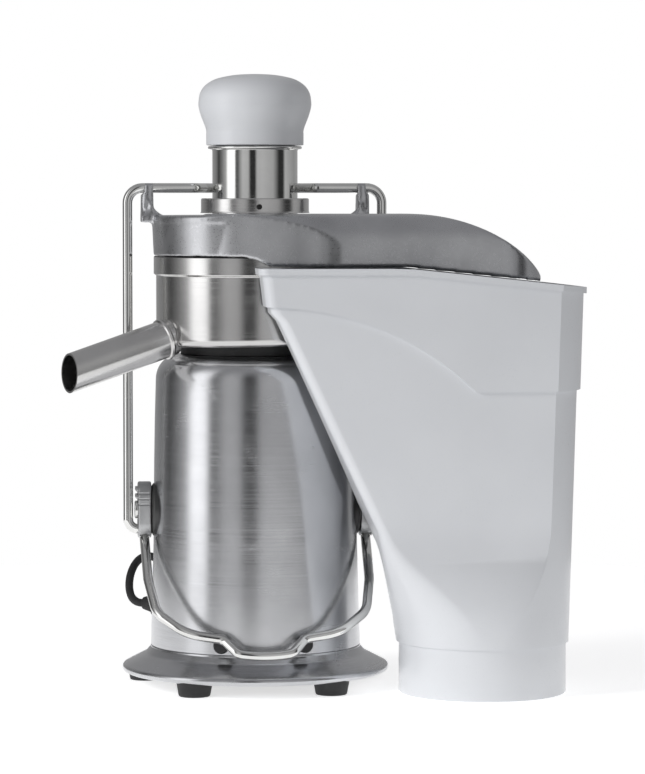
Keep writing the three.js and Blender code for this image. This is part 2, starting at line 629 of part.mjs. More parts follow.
// The bin's outline at one height. High up it has a flat left end with a rounded front corner; low down
// the same points lie on a circle.
const binRoundReach = 3.5;         // how much further left the round part stands than the flat end
const leftPoints = 8;
const cornerPoints = 3;
function binSlice(z, inset) {
  const radius = bodyR(z) - inset;
  const left = slantX(z) + inset * 1.1;
  const front = frontOf(z) + inset;
  const rear = rearOf(z) - inset;
  const angleFront = -Math.asin(Math.min(1, (binCentreY - front) / radius));
  const angleRear = Math.asin(Math.min(1, (rear - binCentreY) / radius));
  const corner = Math.min(11 - inset, 9);
  const sidePoints = leftPoints - cornerPoints - 1;
  const reach = left - binRoundReach * roundness(z);
  const points = [];
  for (let k = 0; k < leftPoints; k++) {
    const onSide = Math.min(1, k / sidePoints);
    const turn = rad(180 + 90 * Math.max(0, (k - sidePoints) / cornerPoints));
    const flatX = left + corner + corner * Math.cos(turn);
    const flatY = (k < sidePoints ? rear + (front + corner - rear) * onSide
      : front + corner + corner * Math.sin(turn));
    const a = rad(90 + 180 * (k + 1) / (leftPoints + 1));
    points.push([THREE.MathUtils.lerp(flatX, binCentreX + (binCentreX - reach) * Math.cos(a), roundness(z)),
      THREE.MathUtils.lerp(flatY, binCentreY + radius * Math.sin(a), roundness(z))]);
  }
  const lag = Math.min(...points.map(([x]) => x)) - reach;
  for (const point of points) point[0] -= lag;
  for (let i = 0; i <= 14; i++) {
    const a = angleFront + (angleRear - angleFront) * i / 14;
    points.push([binCentreX + radius * Math.cos(a), binCentreY + radius * Math.sin(a)]);
  }
  return points.map(([x, y]) => v3(x, y, z));
}

// A closed body through outlines that all have the same number of points.
function lofted(outlines) {
  const count = outlines[0].length;
  const vertices = outlines.flat().flatMap((p) => [p.x, p.y, p.z]);
  const index = [];
  for (let k = 0; k < outlines.length - 1; k++) {
    for (let i = 0; i < count; i++) {
      const a = k * count + i;
      const b = k * count + (i + 1) % count;
      index.push(a, b, b + count, a, b + count, a + count);
    }
  }
  const capOf = (outline) => THREE.ShapeUtils.triangulateShape(outline.map((p) => v2(p.x, p.y)), []);
  for (const [a, b, c] of capOf(outlines[0])) index.push(a, c, b);
  const top = (outlines.length - 1) * count;
  for (const [a, b, c] of capOf(outlines.at(-1))) index.push(top + a, top + b, top + c);
  const geometry = new THREE.BufferGeometry();
  geometry.setAttribute('position', new THREE.Float32BufferAttribute(vertices, 3));
  geometry.setIndex(index);
  return solid(geometry);
}

const levels = [binStepZ, 64, 83, 110, 136, 160, 250, 305, 312, 360];
const binForm = (inset) => lofted(levels.map((z) => binSlice(z, inset)));
const rimPlane = (drop) => pushedY([[-60, binRimZ - drop], [binRimFlatX, binRimZ - drop],
  [320, binRimZ - drop - (320 - binRimFlatX) * Math.tan(rad(binRimFall))], [320, 420], [-60, 420]], -200, 100);

// The wider top band: its lower edge is level at the outer end and rises in an arc to the left.
const bandArcX = 0;
const bandArcZ = 79;
const bandArcR = 238;
const bandEdge = [];
for (let i = 0; i <= 8; i++) {
  const x = -20 + 187 * i / 8;
  bandEdge.push([x, bandArcZ + Math.sqrt(bandArcR ** 2 - Math.max(0, x - bandArcX) ** 2)]);
}
const bandRegion = pushedY([...bandEdge, [330, bandEdge.at(-1)[1]], [330, 420], [-20, 420]], -220, 100);
const bandForm = (offset) => binForm(-offset).intersect(bandRegion);
const keepClear = disc(binClear, 0, 420, 60).add(block(0, -44, 60, 110, 60, 180))
  .add(block(0, -13, 0, 112, 60, 420));
let bin = binForm(0).add(bandForm(binBandStep)).subtract(rimPlane(0));
const rimForm = binForm(-binBandStep - 2.5).subtract(rimPlane(0)).intersect(rimPlane(5));
bin = bin.add(rimForm).subtract(keepClear);
const innerClear = disc(binClear + binWall, 0, 420, 60)
  .add(block(0, -44 - binWall, 60 - binWall, 110 + binWall, 60, 180 + binWall))
  .add(block(0, -13 - binWall, 0, 112 + binWall, 60, 420));
const hollow = binForm(binWall).add(binForm(-binBandStep + binWall).intersect(bandRegion.translate([0, 0, 3])))
  .subtract(innerClear).subtract(block(-100, -300, 0, 400, 200, binStepZ + 0.5));
bin = bin.subtract(hollow);
const binFoot = ring(binFootR - binWall, binFootR, 0, binStepZ + 1, 40).add(
  disc(binFootR, 3, 5.6, 40)).translate([binCentreX, binCentreY, 0]);
bin = bin.add(binFoot).subtract(
  disc(binFootR - binWall, 5.6, binStepZ + 2, 40).translate([binCentreX, binCentreY, 0]));
add('pulp_bin', bin.decompose().sort((a, b) => b.volume() - a.volume())[0], whitePlastic);

// ---------- power cord ----------
const glandOut = 22;
add('cable_gland', outward(turned([[cordR + gap, housingR - 5], [glandR * 0.6, housingR - 5],
  [glandR * 0.6, housingFootR + gap], [glandR + 2, housingFootR + gap], [glandR + 2, housingR + 10],
  [glandR, housingR + 12], [cordR + 1.6, housingR + glandOut], [cordR + gap, housingR + glandOut]], 16)
  .rotate([0, 90, 0]), glandTurn, glandZ), rubber);

const cordPoints = [[-90.4, 56.6, 61], [-95.8, 60, 61.6], [-100, 65.2, 65], [-101.7, 71.3, 71],
  [-101.4, 77.5, 78.2], [-99.4, 83.5, 85], [-95.8, 89.5, 91], [-90.8, 95.8, 95], [-84.6, 102.6, 96.2],
  [-77.6, 110, 93.6], [-71, 118, 86], [-65.6, 127, 73], [-61.5, 136.5, 56], [-58.2, 146, 38],
  [-55, 155, 20.5], [-52.2, 163.5, 8.6], [-50.7, 172, 3.8]];
const coilCentre = v3(0, 176, 0);
const coilInner = 25.5;
const coilOuter = 47;
const coilHeight = 15;
const cordCurve = new THREE.CatmullRomCurve3(cordPoints.map(([x, y, z]) => v3(x, y, z)));
const cordTube = swept(cordCurve.getSpacedPoints(20), cordR, 8);
freeCord.push(add('power_cord', cordTube, rubber));
freeCord.push(add('cord_coil', turned([[coilInner, 0.2], [coilOuter, 0.2], [coilOuter, coilHeight],
  [coilInner, coilHeight]], 24).translate(coilCentre.toArray()), rubber));
// The plug lies on the coil and points at the machine; its own axis is Z before it is laid down.
const plugX = 30;
const plugLength = 32;
const plugLie = coilHeight + 10;
let plug = turned([[0, -18], [cordR, -18], [4.5, 0], [11, 8], [13, 24], [13, plugLength], [0, plugLength]], 16)
  .scale([1, 0.75, 1]);
for (const x of [-6, 6]) {
  plug = plug.add(disc(2, plugLength - 2, plugLength + 18, 10).translate([x, 0, 0]));
}
plug = plug.rotate([90, 0, 0]).translate([plugX, coilCentre.y - 16, plugLie]);
freeCord.push(add('plug', plug, blackPlastic));

// The origin is the middle of what stands on the floor, the free cord left out.
const footprint = new THREE.Box3();
for (const mesh of juicer.children) {
  if (!freeCord.includes(mesh)) footprint.expandByObject(mesh);
}
const middle = footprint.getCenter(v3(0, 0, 0));
juicer.position.set(-middle.x, -middle.y, 0);
const assembly = new THREE.Group();
assembly.add(juicer);

export default assembly;
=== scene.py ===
# Centrifugal juicer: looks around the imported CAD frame. Lengths below are millimetres about the
# machine's own upright axis, and place() turns them into metres in the frame.
import json
import math

import bmesh
import bpy
from mathutils import Matrix, Vector


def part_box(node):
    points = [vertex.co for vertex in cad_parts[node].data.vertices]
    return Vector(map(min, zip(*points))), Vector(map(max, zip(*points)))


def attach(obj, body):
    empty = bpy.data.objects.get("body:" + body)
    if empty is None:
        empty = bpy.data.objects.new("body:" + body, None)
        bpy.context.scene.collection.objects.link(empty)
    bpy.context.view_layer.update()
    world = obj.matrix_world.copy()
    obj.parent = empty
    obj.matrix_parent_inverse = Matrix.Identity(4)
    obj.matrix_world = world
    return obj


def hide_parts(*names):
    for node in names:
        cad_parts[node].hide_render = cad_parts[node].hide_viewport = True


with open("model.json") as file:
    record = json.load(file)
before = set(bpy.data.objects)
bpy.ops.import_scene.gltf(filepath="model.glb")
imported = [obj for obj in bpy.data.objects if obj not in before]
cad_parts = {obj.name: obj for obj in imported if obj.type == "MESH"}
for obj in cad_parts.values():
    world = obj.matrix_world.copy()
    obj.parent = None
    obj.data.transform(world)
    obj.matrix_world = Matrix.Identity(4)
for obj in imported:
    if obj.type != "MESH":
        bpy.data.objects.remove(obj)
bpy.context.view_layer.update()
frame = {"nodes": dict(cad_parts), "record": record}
print("frame loaded")

flangeLow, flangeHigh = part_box("base_flange")
machineAxis = Vector(((flangeLow[0] + flangeHigh[0]) / 2, (flangeLow[1] + flangeHigh[1]) / 2, 0))
mm = 0.001


def place(x, y, z):
    return Vector((x * mm, y * mm, z * mm)) + machineAxis


def onTurn(radius, degrees, z=0.0):
    turn = math.radians(degrees)
    return Vector((radius * math.cos(turn), radius * math.sin(turn), z))


# Eases a share of 0 to 1, slow at both ends.
def softShare(t):
    return t * t * (3 - 2 * t)


def spun(degrees, axis):
    return Matrix.Rotation(math.radians(degrees), 4, axis)


# Camera
cameraSet = {"distance": 2.94, "turn": 4.6, "pitch": 3.1, "height": 0.406, "sideStep": 0.056, "lens": 164.7}


def makeCamera(s):
    turn = math.radians(s["turn"])
    data = bpy.data.cameras.new("studioCamera")
    data.sensor_fit = "VERTICAL"
    data.sensor_height = 36
    data.lens = s["lens"]
    data.clip_end = 50
    camera = bpy.data.objects.new("studioCamera", data)
    bpy.context.collection.objects.link(camera)
    camera.location = machineAxis + Vector((
        -s["distance"] * math.sin(turn), -s["distance"] * math.cos(turn), s["height"]))
    drop = s["distance"] * math.tan(math.radians(s["pitch"]))
    aim = machineAxis + Vector((
        s["sideStep"] * math.cos(turn), -s["sideStep"] * math.sin(turn), s["height"] - drop))
    camera.rotation_euler = (aim - camera.location).to_track_quat("-Z", "Y").to_euler()
    bpy.context.scene.camera = camera


makeCamera(cameraSet)


# Shaping helpers
def arcPoints(cx, cy, radius, start, end, steps):
    points = []
    for i in range(steps + 1):
        a = math.radians(start + (end - start) * i / steps)
        points.append((cx + radius * math.cos(a), cy + radius * math.sin(a)))
    return points


# Corners (x, y, radius) become a line of points with each corner rounded.
def rounded(corners, closed=False, steps=5):
    points = []
    count = len(corners)
    for i, corner in enumerate(corners):
        here = Vector(corner[:2])
        radius = corner[2] if len(corner) > 2 else 0
        if radius == 0 or (not closed and i in (0, count - 1)):
            points.append(tuple(here))
            continue
        back = Vector(corners[i - 1][:2]) - here
        ahead = Vector(corners[(i + 1) % count][:2]) - here
        half = back.angle(ahead) / 2
        reach = min(radius / math.tan(half), back.length * 0.49, ahead.length * 0.49)
        start = here + back.normalized() * reach
        end = here + ahead.normalized() * reach
        for k in range(steps + 1):
            t = k / steps
            points.append(tuple(start * (1 - t) ** 2 + here * 2 * t * (1 - t) + end * t * t))
    return points


def lineOf(bm, points):
    verts = [bm.verts.new(p) for p in points]
    for a, b in zip(verts, verts[1:]):
        bm.edges.new((a, b))
    return verts


# A profile of (radius, height) turned about the upright axis.
def turned(profile, steps=128):
    bm = bmesh.new()
    verts = lineOf(bm, [(r, 0, z) for r, z in profile])
    bmesh.ops.spin(bm, geom=verts + list(bm.edges), cent=(0, 0, 0), axis=(0, 0, 1),
                   angle=math.tau, steps=steps, use_merge=True, use_duplicate=False)
    bmesh.ops.remove_doubles(bm, verts=bm.verts, dist=0.001)
    bmesh.ops.dissolve_degenerate(bm, dist=0.0005, edges=bm.edges)
    bmesh.ops.recalc_face_normals(bm, faces=bm.faces)
    return bm


# A flat outline pushed along a direction. The outline is given in the plane of the two named axes.
def pushed(outline, plane, low, high):
    bm = bmesh.new()
    at = {"XY": lambda a, b, c: (a, b, c),
          "XZ": lambda a, b, c: (a, c, b),
          "YZ": lambda a, b, c: (c, a, b)}[plane]
    verts = [bm.verts.new(at(a, b, low)) for a, b in outline]
    face = bm.faces.new(verts)
    made = bmesh.ops.extrude_face_region(bm, geom=[face])
    step = Vector(at(0, 0, high - low))
    bmesh.ops.translate(bm, vec=step, verts=[v for v in made["geom"] if isinstance(v, bmesh.types.BMVert)])
    bmesh.ops.recalc_face_normals(bm, faces=bm.faces)
    return bm


def boxOf(low, high):
    bm = bmesh.new()
    bmesh.ops.create_cube(bm, size=1)
    low, high = Vector(low), Vector(high)
    bmesh.ops.scale(bm, vec=high - low, verts=bm.verts)
    bmesh.ops.translate(bm, vec=(low + high) / 2, verts=bm.verts)
    return bm


def rodOf(radius, start, end, steps=48):
    bm = bmesh.new()
    start, end = Vector(start), Vector(end)
    bmesh.ops.create_cone(bm, cap_ends=True, segments=steps, radius1=radius, radius2=radius,
                          depth=(end - start).length)
    turn = (end - start).to_track_quat("Z", "Y").to_matrix().to_4x4()
    bmesh.ops.transform(bm, matrix=Matrix.Translation((start + end) / 2) @ turn, verts=bm.verts)
    return bm


def sharpEdges(bm, degrees=30):
    return [e for e in bm.edges if len(e.link_faces) == 2 and e.calc_face_angle(0) > math.radians(degrees)]


def eased(bm, width, segments=3, degrees=30):
    bmesh.ops.bevel(bm, geom=sharpEdges(bm, degrees), offset=width, segments=segments, profile=0.5,
                    affect="EDGES", material=-1, clamp_overlap=True)
    return bm


def moved(bm, matrix):
    bmesh.ops.transform(bm, matrix=matrix, verts=bm.verts)
    return bm


def mirrored(bm):
    bmesh.ops.scale(bm, vec=(-1, 1, 1), verts=bm.verts)
    bmesh.ops.reverse_faces(bm, faces=bm.faces)
    return bm


def joined(*meshes):
    whole = bmesh.new()
    for bm in meshes:
        part = bpy.data.meshes.new("joining")
        bm.to_mesh(part)
        bm.free()
        whole.from_mesh(part)
        bpy.data.meshes.remove(part)
    return whole


def looseObject(bm, name="loose"):
    data = bpy.data.meshes.new(name)
    bm.to_mesh(data)
    bm.free()
    obj = bpy.data.objects.new(name, data)
    bpy.context.collection.objects.link(obj)
    return obj


def bakedMesh(obj):
    bpy.context.view_layer.update()
    return bpy.data.meshes.new_from_object(obj.evaluated_get(bpy.context.evaluated_depsgraph_get()))


add, cut, keep = "UNION", "DIFFERENCE", "INTERSECT"


# Joins, cuts or intersects a form with each of the tools in turn.
def carved(bm, *steps):
    obj = looseObject(bm, "carving")
    for operation, tool in steps:
        cutter = looseObject(tool, "cutter")
        modifier = obj.modifiers.new("carve", "BOOLEAN")
        modifier.operation = operation
        modifier.solver = "MANIFOLD"
        modifier.object = cutter
        result = bakedMesh(obj)
        obj.modifiers.clear()
        old, obj.data = obj.data, result
        bpy.data.meshes.remove(old)
        bpy.data.objects.remove(cutter)
    out = bmesh.new()
    out.from_mesh(obj.data)
    bpy.data.objects.remove(obj)
    return out


# Remeshed in small cells and relaxed, so that every join is a soft cast fillet.
def castForm(bm, cell, relax):
    obj = looseObject(bm, "casting")
    remesh = obj.modifiers.new("cells", "REMESH")
    remesh.mode = "VOXEL"
    remesh.voxel_size = cell
    smooth = obj.modifiers.new("relax", "SMOOTH")
    smooth.factor = 0.5
    smooth.iterations = relax
    out = bmesh.new()
    out.from_mesh(bakedMesh(obj))
    bpy.data.objects.remove(obj)
    return out


# The finished piece: placed in the frame, smooth but for its sharp edges, riding on its body.
def makePiece(name, bm, material, body, replaced=(), smoothAngle=32):
    bmesh.ops.transform(bm, matrix=Matrix.Translation(machineAxis) @ Matrix.Scale(mm, 4), verts=bm.verts)
    for face in bm.faces:
        face.smooth = True
    for edge in bm.edges:
        edge.smooth = len(edge.link_faces) == 2 and edge.calc_face_angle(0) < math.radians(smoothAngle)
    obj = looseObject(bm, name)
    obj.data.name = name
    obj.data.materials.append(finishes[material])
    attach(obj, body)
    if replaced:
        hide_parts(*replaced)
    return obj


# A round wire through corners (point, bend radius).
def wireOf(corners, radius, steps=12):
    path = [Vector(corners[0][0])]
    for (before, _), (corner, bend), (after, _) in zip(corners, corners[1:], corners[2:]):
        corner = Vector(corner)
        back = (Vector(before) - corner).normalized()
        ahead = (Vector(after) - corner).normalized()
        half = back.angle(ahead) / 2
        centre = corner + (back + ahead).normalized() * bend / math.sin(half)
        first = corner + back * bend / math.tan(half) - centre
        last = corner + ahead * bend / math.tan(half) - centre
        sweep = first.angle(last)
        for k in range(steps + 1):
            a = sweep * k / steps
            path.append(centre + (first * math.sin(sweep - a) + last * math.sin(a)) / math.sin(sweep))
    path.append(Vector(corners[-1][0]))
    return tubeAlong(path, radius)


def curveObject(name, path, radius, resolution):
    data = bpy.data.curves.new(name, "CURVE")
    data.dimensions = "3D"
    data.bevel_depth = radius
    data.bevel_resolution = resolution
    data.use_fill_caps = True
    spline = data.splines.new("POLY")
    spline.points.add(len(path) - 1)
    for point, p in zip(spline.points, path):
        point.co = (*p, 1)
    obj = bpy.data.objects.new(name, data)
    bpy.context.collection.objects.link(obj)
    return obj


def tubeAlong(path, radius):
    obj = curveObject("wire", path, radius, 6)
    out = bmesh.new()
    out.from_mesh(bakedMesh(obj))
    bpy.data.objects.remove(obj)
    bmesh.ops.remove_doubles(out, verts=out.verts, dist=0.001)
    bmesh.ops.recalc_face_normals(out, faces=out.faces)
    return out


# Finishes
def socketsOf(group, inputs, outputs):
    for name, kind, value in inputs:
        socket = group.interface.new_socket(name=name, in_out="INPUT", socket_type=kind)
        if value is not None:
            socket.default_value = value
    for name, kind in outputs:
        group.interface.new_socket(name=name, in_out="OUTPUT", socket_type=kind)
    return group.nodes.new("NodeGroupInput"), group.nodes.new("NodeGroupOutput")


# A shader node with its own settings and socket values.
def nodeOf(nodes, kind, sockets=None, **settings):
    node = nodes.new("ShaderNode" + kind)
    for name, value in settings.items():
        setattr(node, name, value)
    for name, value in (sockets or {}).items():
        node.inputs[name].default_value = value
    return node


# Fine grain and broad patches. The stretch makes lines of it: long across, fine along the stretched axis.
def grainGroup(name, stretch, detail):
    group = bpy.data.node_groups.new(name, "ShaderNodeTree")
    entry, result = socketsOf(
        group,
        [("Position", "NodeSocketVector", None), ("Fineness", "NodeSocketFloat", 900.0),
         ("Patch Size", "NodeSocketFloat", 18.0)],
        [("Grain", "NodeSocketFloat"), ("Patches", "NodeSocketFloat")])
    squeeze = nodeOf(group.nodes, "VectorMath", {1: stretch}, operation="MULTIPLY")
    fine = nodeOf(group.nodes, "TexNoise", {"Detail": detail, "Roughness": 0.6})
    broad = nodeOf(group.nodes, "TexNoise", {"Detail": 4})
    group.links.new(entry.outputs["Position"], squeeze.inputs[0])
    group.links.new(squeeze.outputs[0], fine.inputs["Vector"])
    group.links.new(entry.outputs["Fineness"], fine.inputs["Scale"])
    group.links.new(entry.outputs["Position"], broad.inputs["Vector"])
    group.links.new(entry.outputs["Patch Size"], broad.inputs["Scale"])
    group.links.new(fine.outputs["Fac"], result.inputs["Grain"])
    group.links.new(broad.outputs["Fac"], result.inputs["Patches"])
    return group


# A thin veil of handling marks: a mask that is strongest in a few soft blots.
def smudgeGroup():
    group = bpy.data.node_groups.new("handlingMarks", "ShaderNodeTree")
    entry, result = socketsOf(
        group,
        [("Position", "NodeSocketVector", None), ("Spread", "NodeSocketFloat", 30.0)],
        [("Marks", "NodeSocketFloat")])
    blots = nodeOf(group.nodes, "TexNoise", {"Detail": 6, "Distortion": 0.6})
    masked = nodeOf(group.nodes, "MapRange", {"From Min": 0.52, "From Max": 0.75},
                    interpolation_type="SMOOTHSTEP")
    group.links.new(entry.outputs["Position"], blots.inputs["Vector"])
    group.links.new(entry.outputs["Spread"], blots.inputs["Scale"])
    group.links.new(blots.outputs["Fac"], masked.inputs["Value"])
    group.links.new(masked.outputs["Result"], result.inputs["Marks"])
    return group


grains = {
    "turned": grainGroup("turnedGrain", (0.004, 0.004, 1.0), 3),
    "cast": grainGroup("castGrain", (1.0, 1.0, 1.0), 5),
    "moulded": grainGroup("mouldedGrain", (1.0, 1.0, 1.0), 2),
}
handlingMarks = smudgeGroup()

# dark and light are the two tones the patches run between; rough is the range the grain runs between
finishSet = {
    "brushedAluminium": {"slot": "brushed_aluminium", "grain": "turned", "fineness": 1500, "patch": 14,
                         "dark": (0.50, 0.505, 0.52), "light": (0.64, 0.645, 0.66), "metal": 1,
                         "rough": (0.17, 0.27), "marks": 0.06, "bump": 0.06, "depth": 0.00003},
    "satinSteel": {"slot": "satin_steel", "grain": "turned", "fineness": 1900, "patch": 16,
                   "dark": (0.56, 0.555, 0.55), "light": (0.68, 0.675, 0.665), "metal": 1,
                   "rough": (0.15, 0.25), "marks": 0.05, "bump": 0.05, "depth": 0.00003},
    "castAluminium": {"slot": "cast_aluminium", "grain": "cast", "fineness": 700, "patch": 22,
                      "dark": (0.46, 0.465, 0.48), "light": (0.60, 0.605, 0.62), "metal": 1,
                      "rough": (0.24, 0.36), "marks": 0.06, "bump": 0.12, "depth": 0.00012},
    "polishedSteel": {"slot": "polished_steel", "grain": "moulded", "fineness": 500, "patch": 25,
                      "dark": (0.70, 0.70, 0.69), "light": (0.82, 0.82, 0.80), "metal": 1,
                      "rough": (0.05, 0.13), "marks": 0.10, "bump": 0.04, "depth": 0.00004},
    "whitePlastic": {"slot": "white_plastic", "grain": "moulded", "fineness": 900, "patch": 12,
                     "dark": (0.70, 0.715, 0.74), "light": (0.74, 0.755, 0.78), "metal": 0,
                     "rough": (0.26, 0.36), "marks": 0.06, "bump": 0.05, "depth": 0.00008, "coat": 0.25},
    "blackRubber": {"slot": "black_rubber", "grain": "cast", "fineness": 1400, "patch": 30,
                    "dark": (0.012, 0.012, 0.013), "light": (0.03, 0.03, 0.031), "metal": 0,
                    "rough": (0.55, 0.75), "marks": 0.1, "bump": 0.2, "depth": 0.0001},
    "darkMetal": {"slot": "dark_metal", "grain": "cast", "fineness": 1200, "patch": 30,
                  "dark": (0.05, 0.05, 0.05), "light": (0.10, 0.10, 0.10), "metal": 0.8,
                  "rough": (0.35, 0.5), "marks": 0.1, "bump": 0.15, "depth": 0.0001},
    "plainSteel": {"slot": "plain_steel", "grain": "cast", "fineness": 900, "patch": 30,
                   "dark": (0.38, 0.385, 0.39), "light": (0.52, 0.525, 0.53), "metal": 1,
                   "rough": (0.28, 0.45), "marks": 0.1, "bump": 0.12, "depth": 0.0001},
    "copperWire": {"slot": "copper", "grain": "turned", "fineness": 900, "patch": 40,
                   "dark": (0.36, 0.14, 0.06), "light": (0.62, 0.29, 0.14), "metal": 1,
                   "rough": (0.25, 0.5), "marks": 0.1, "bump": 0.8, "depth": 0.0005},
    "blackPlastic": {"slot": "black_plastic", "grain": "moulded", "fineness": 1800, "patch": 30,
                     "dark": (0.015, 0.015, 0.016), "light": (0.03, 0.03, 0.032), "metal": 0,
                     "rough": (0.38, 0.52), "marks": 0.08, "bump": 0.12, "depth": 0.00008},
}


def makeFinish(name, s):
    material = bpy.data.materials.new(name)
    material.use_nodes = True
    nodes, links = material.node_tree.nodes, material.node_tree.links
    shader = nodes["Principled BSDF"]
    where = nodeOf(nodes, "TexCoord")
    grain = nodeOf(nodes, "Group", {"Fineness": s["fineness"], "Patch Size": s["patch"]},
                   node_tree=grains[s["grain"]])
    marks = nodeOf(nodes, "Group", node_tree=handlingMarks)
    tone = nodeOf(nodes, "Mix", {"A": (*s["dark"], 1), "B": (*s["light"], 1)}, data_type="RGBA")
    toneSpread = nodeOf(nodes, "MapRange", {"From Min": 0.3, "From Max": 0.7})
    roughness = nodeOf(nodes, "MapRange", {"From Min": 0.25, "From Max": 0.75,
                                           "To Min": s["rough"][0], "To Max": s["rough"][1]})
    duller = nodeOf(nodes, "Math", {1: s["marks"]}, operation="MULTIPLY_ADD")
    bump = nodeOf(nodes, "Bump", {"Strength": s["bump"], "Distance": s["depth"]})
    links.new(where.outputs["Object"], grain.inputs["Position"])
    links.new(where.outputs["Object"], marks.inputs["Position"])
    links.new(grain.outputs["Patches"], toneSpread.inputs["Value"])
    links.new(toneSpread.outputs["Result"], tone.inputs["Factor"])
    links.new(grain.outputs["Grain"], roughness.inputs["Value"])
    links.new(marks.outputs["Marks"], duller.inputs[0])
    links.new(roughness.outputs["Result"], duller.inputs[2])
    links.new(grain.outputs["Grain"], bump.inputs["Height"])
    links.new(tone.outputs["Result"], shader.inputs["Base Color"])
    links.new(duller.outputs[0], shader.inputs["Roughness"])
    links.new(bump.outputs["Normal"], shader.inputs["Normal"])
    shader.inputs["Metallic"].default_value = s["metal"]
    shader.inputs["Coat Weight"].default_value = s.get("coat", 0)
    shader.inputs["Coat Roughness"].default_value = 0.12
    return material


finishes = {name: makeFinish(name, s) for name, s in finishSet.items()}
finishOfSlot = {s["slot"]: name for name, s in finishSet.items()}

# Pieces that keep their CAD shape take the finish that the record names for them.
for part in frame["record"]["subparts"]:
    node = frame["nodes"].get(part.get("node", part.get("name")))
    if node and part.get("material_slot") in finishOfSlot:
        node.data.materials.clear()
        node.data.materials.append(finishes[finishOfSlot[part["material_slot"]]])
print("finishes made")


# Power cord
# The route is the CAD's own, then the stored length is wound: out of the middle layer by layer.
cordSet = {"radius": 3.4, "coilX": 0, "coilY": 176, "outer": 43.5, "inner": 29.5, "turns": 3, "pitch": 6.9,
           "plugX": 30, "plugY": 160, "plugTailY": 178, "plugLie": 25, "glandTurn": 148, "glandZ": 61,
           "glandTip": 106.4}
cordRoute = [(-90.4, 56.6, 61), (-95.8, 60, 61.6), (-100, 65.2, 65), (-101.7, 71.3, 71),
             (-101.4, 77.5, 78.2), (-99.4, 83.5, 85), (-95.8, 89.5, 91), (-90.8, 95.8, 95),
             (-84.6, 102.6, 96.2), (-77.6, 110, 93.6), (-71, 118, 86), (-65.6, 127, 73),
             (-61.5, 136.5, 56), (-58.2, 146, 38), (-55, 155, 20.5), (-52.2, 163.5, 8.6),
             (-49.8, 172, 3.8)]


def coilPoints(s):
    points = [(-47, 181, s["radius"] + 0.2), (-43, 190, s["radius"] + 0.2)]
    low, high, top = s["radius"] + 0.2, s["radius"] * 3 + 0.6, s["radius"] * 5 + 1.0
    firstTurn = 150.0
    stretches = [  # degrees turned, radius from and to, height from and to
        (s["turns"] * 360, s["outer"], s["inner"], low, low),
        (70, s["inner"], s["inner"], low, high),
        (s["turns"] * 360, s["inner"], s["outer"], high, high),
        (60, s["outer"], s["outer"] - 2, high, top),
        (140, s["outer"] - 2, s["inner"] + 4, top, top),
        (40, s["inner"] + 4, s["inner"] + 1, top, s["plugLie"]),
    ]
    turn = firstTurn
    for degrees, r0, r1, z0, z1 in stretches:
        steps = max(2, round(degrees / 15))
        for i in range(1, steps + 1):
            t = i / steps
            lift = softShare(t)
            at = onTurn(r0 + (r1 - r0) * t, turn - degrees * t, z0 + (z1 - z0) * lift)
            points.append((at.x + s["coilX"], at.y + s["coilY"], at.z))
        turn -= degrees
    return points


def smoothLine(points, each):
    line = []
    for i in range(len(points) - 1):
        p0 = Vector(points[max(0, i - 1)])
        p1, p2 = Vector(points[i]), Vector(points[i + 1])
        p3 = Vector(points[min(len(points) - 1, i + 2)])
        for k in range(each):
            t = k / each
            line.append(0.5 * (2 * p1 + (p2 - p0) * t + (2 * p0 - 5 * p1 + 4 * p2 - p3) * t * t
                               + (3 * p1 - p0 - 3 * p2 + p3) * t ** 3))
    line.append(Vector(points[-1]))
    return line


def makeCord(s):
    tail = [(s["plugX"], s["plugTailY"] + 4, s["plugLie"]), (s["plugX"], s["plugTailY"] - 3, s["plugLie"])]
    line = smoothLine(cordRoute + coilPoints(s) + tail, 3)
    cord = curveObject("powerCord", [place(*p) for p in line], s["radius"] * mm, 4)
    cord.data.materials.append(finishes["blackRubber"])
    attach(cord, "machine")
    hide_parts("power_cord", "cord_coil")
    length = sum((b - a).length for a, b in zip(line, line[1:])) * mm
    return cord, length, place(*line[0])


def makePlug(s):
    # the body is modelled upright, then laid down pointing at the machine
    body = turned([(0, -18), (3.9, -18), (4.4, -17.2), (4.4, -12), (4.0, -11.6), (4.0, -10.6), (4.6, -10.2),
                   (4.6, -6), (4.2, -5.6), (4.2, -4.6), (5.0, -4.2), (5.6, 0), (9.5, 5.5), (11, 8.5),
                   (12.2, 14),
                   (12.9, 24), (13, 30.5), (12, 32), (0, 32)], 48)
    bmesh.ops.scale(body, vec=(1, 0.75, 1), verts=body.verts)
    lay = Matrix.Translation((s["plugX"], s["plugY"], s["plugLie"])) @ spun(90, "X")
    plug = makePiece("plugBody", moved(body, lay), "blackPlastic", "machine", ["plug"])
    pins = []
    for x in (-6, 6):
        pins.append(turned([(0, 31.5), (2, 31.5), (2, 48.6), (1.6, 49.6), (0, 49.9)], 24))
        bmesh.ops.translate(pins[-1], vec=(x, 0, 0), verts=pins[-1].verts)
    pin = makePiece("plugPins", moved(joined(*pins), lay), "plainSteel", "machine")
    return plug, pin


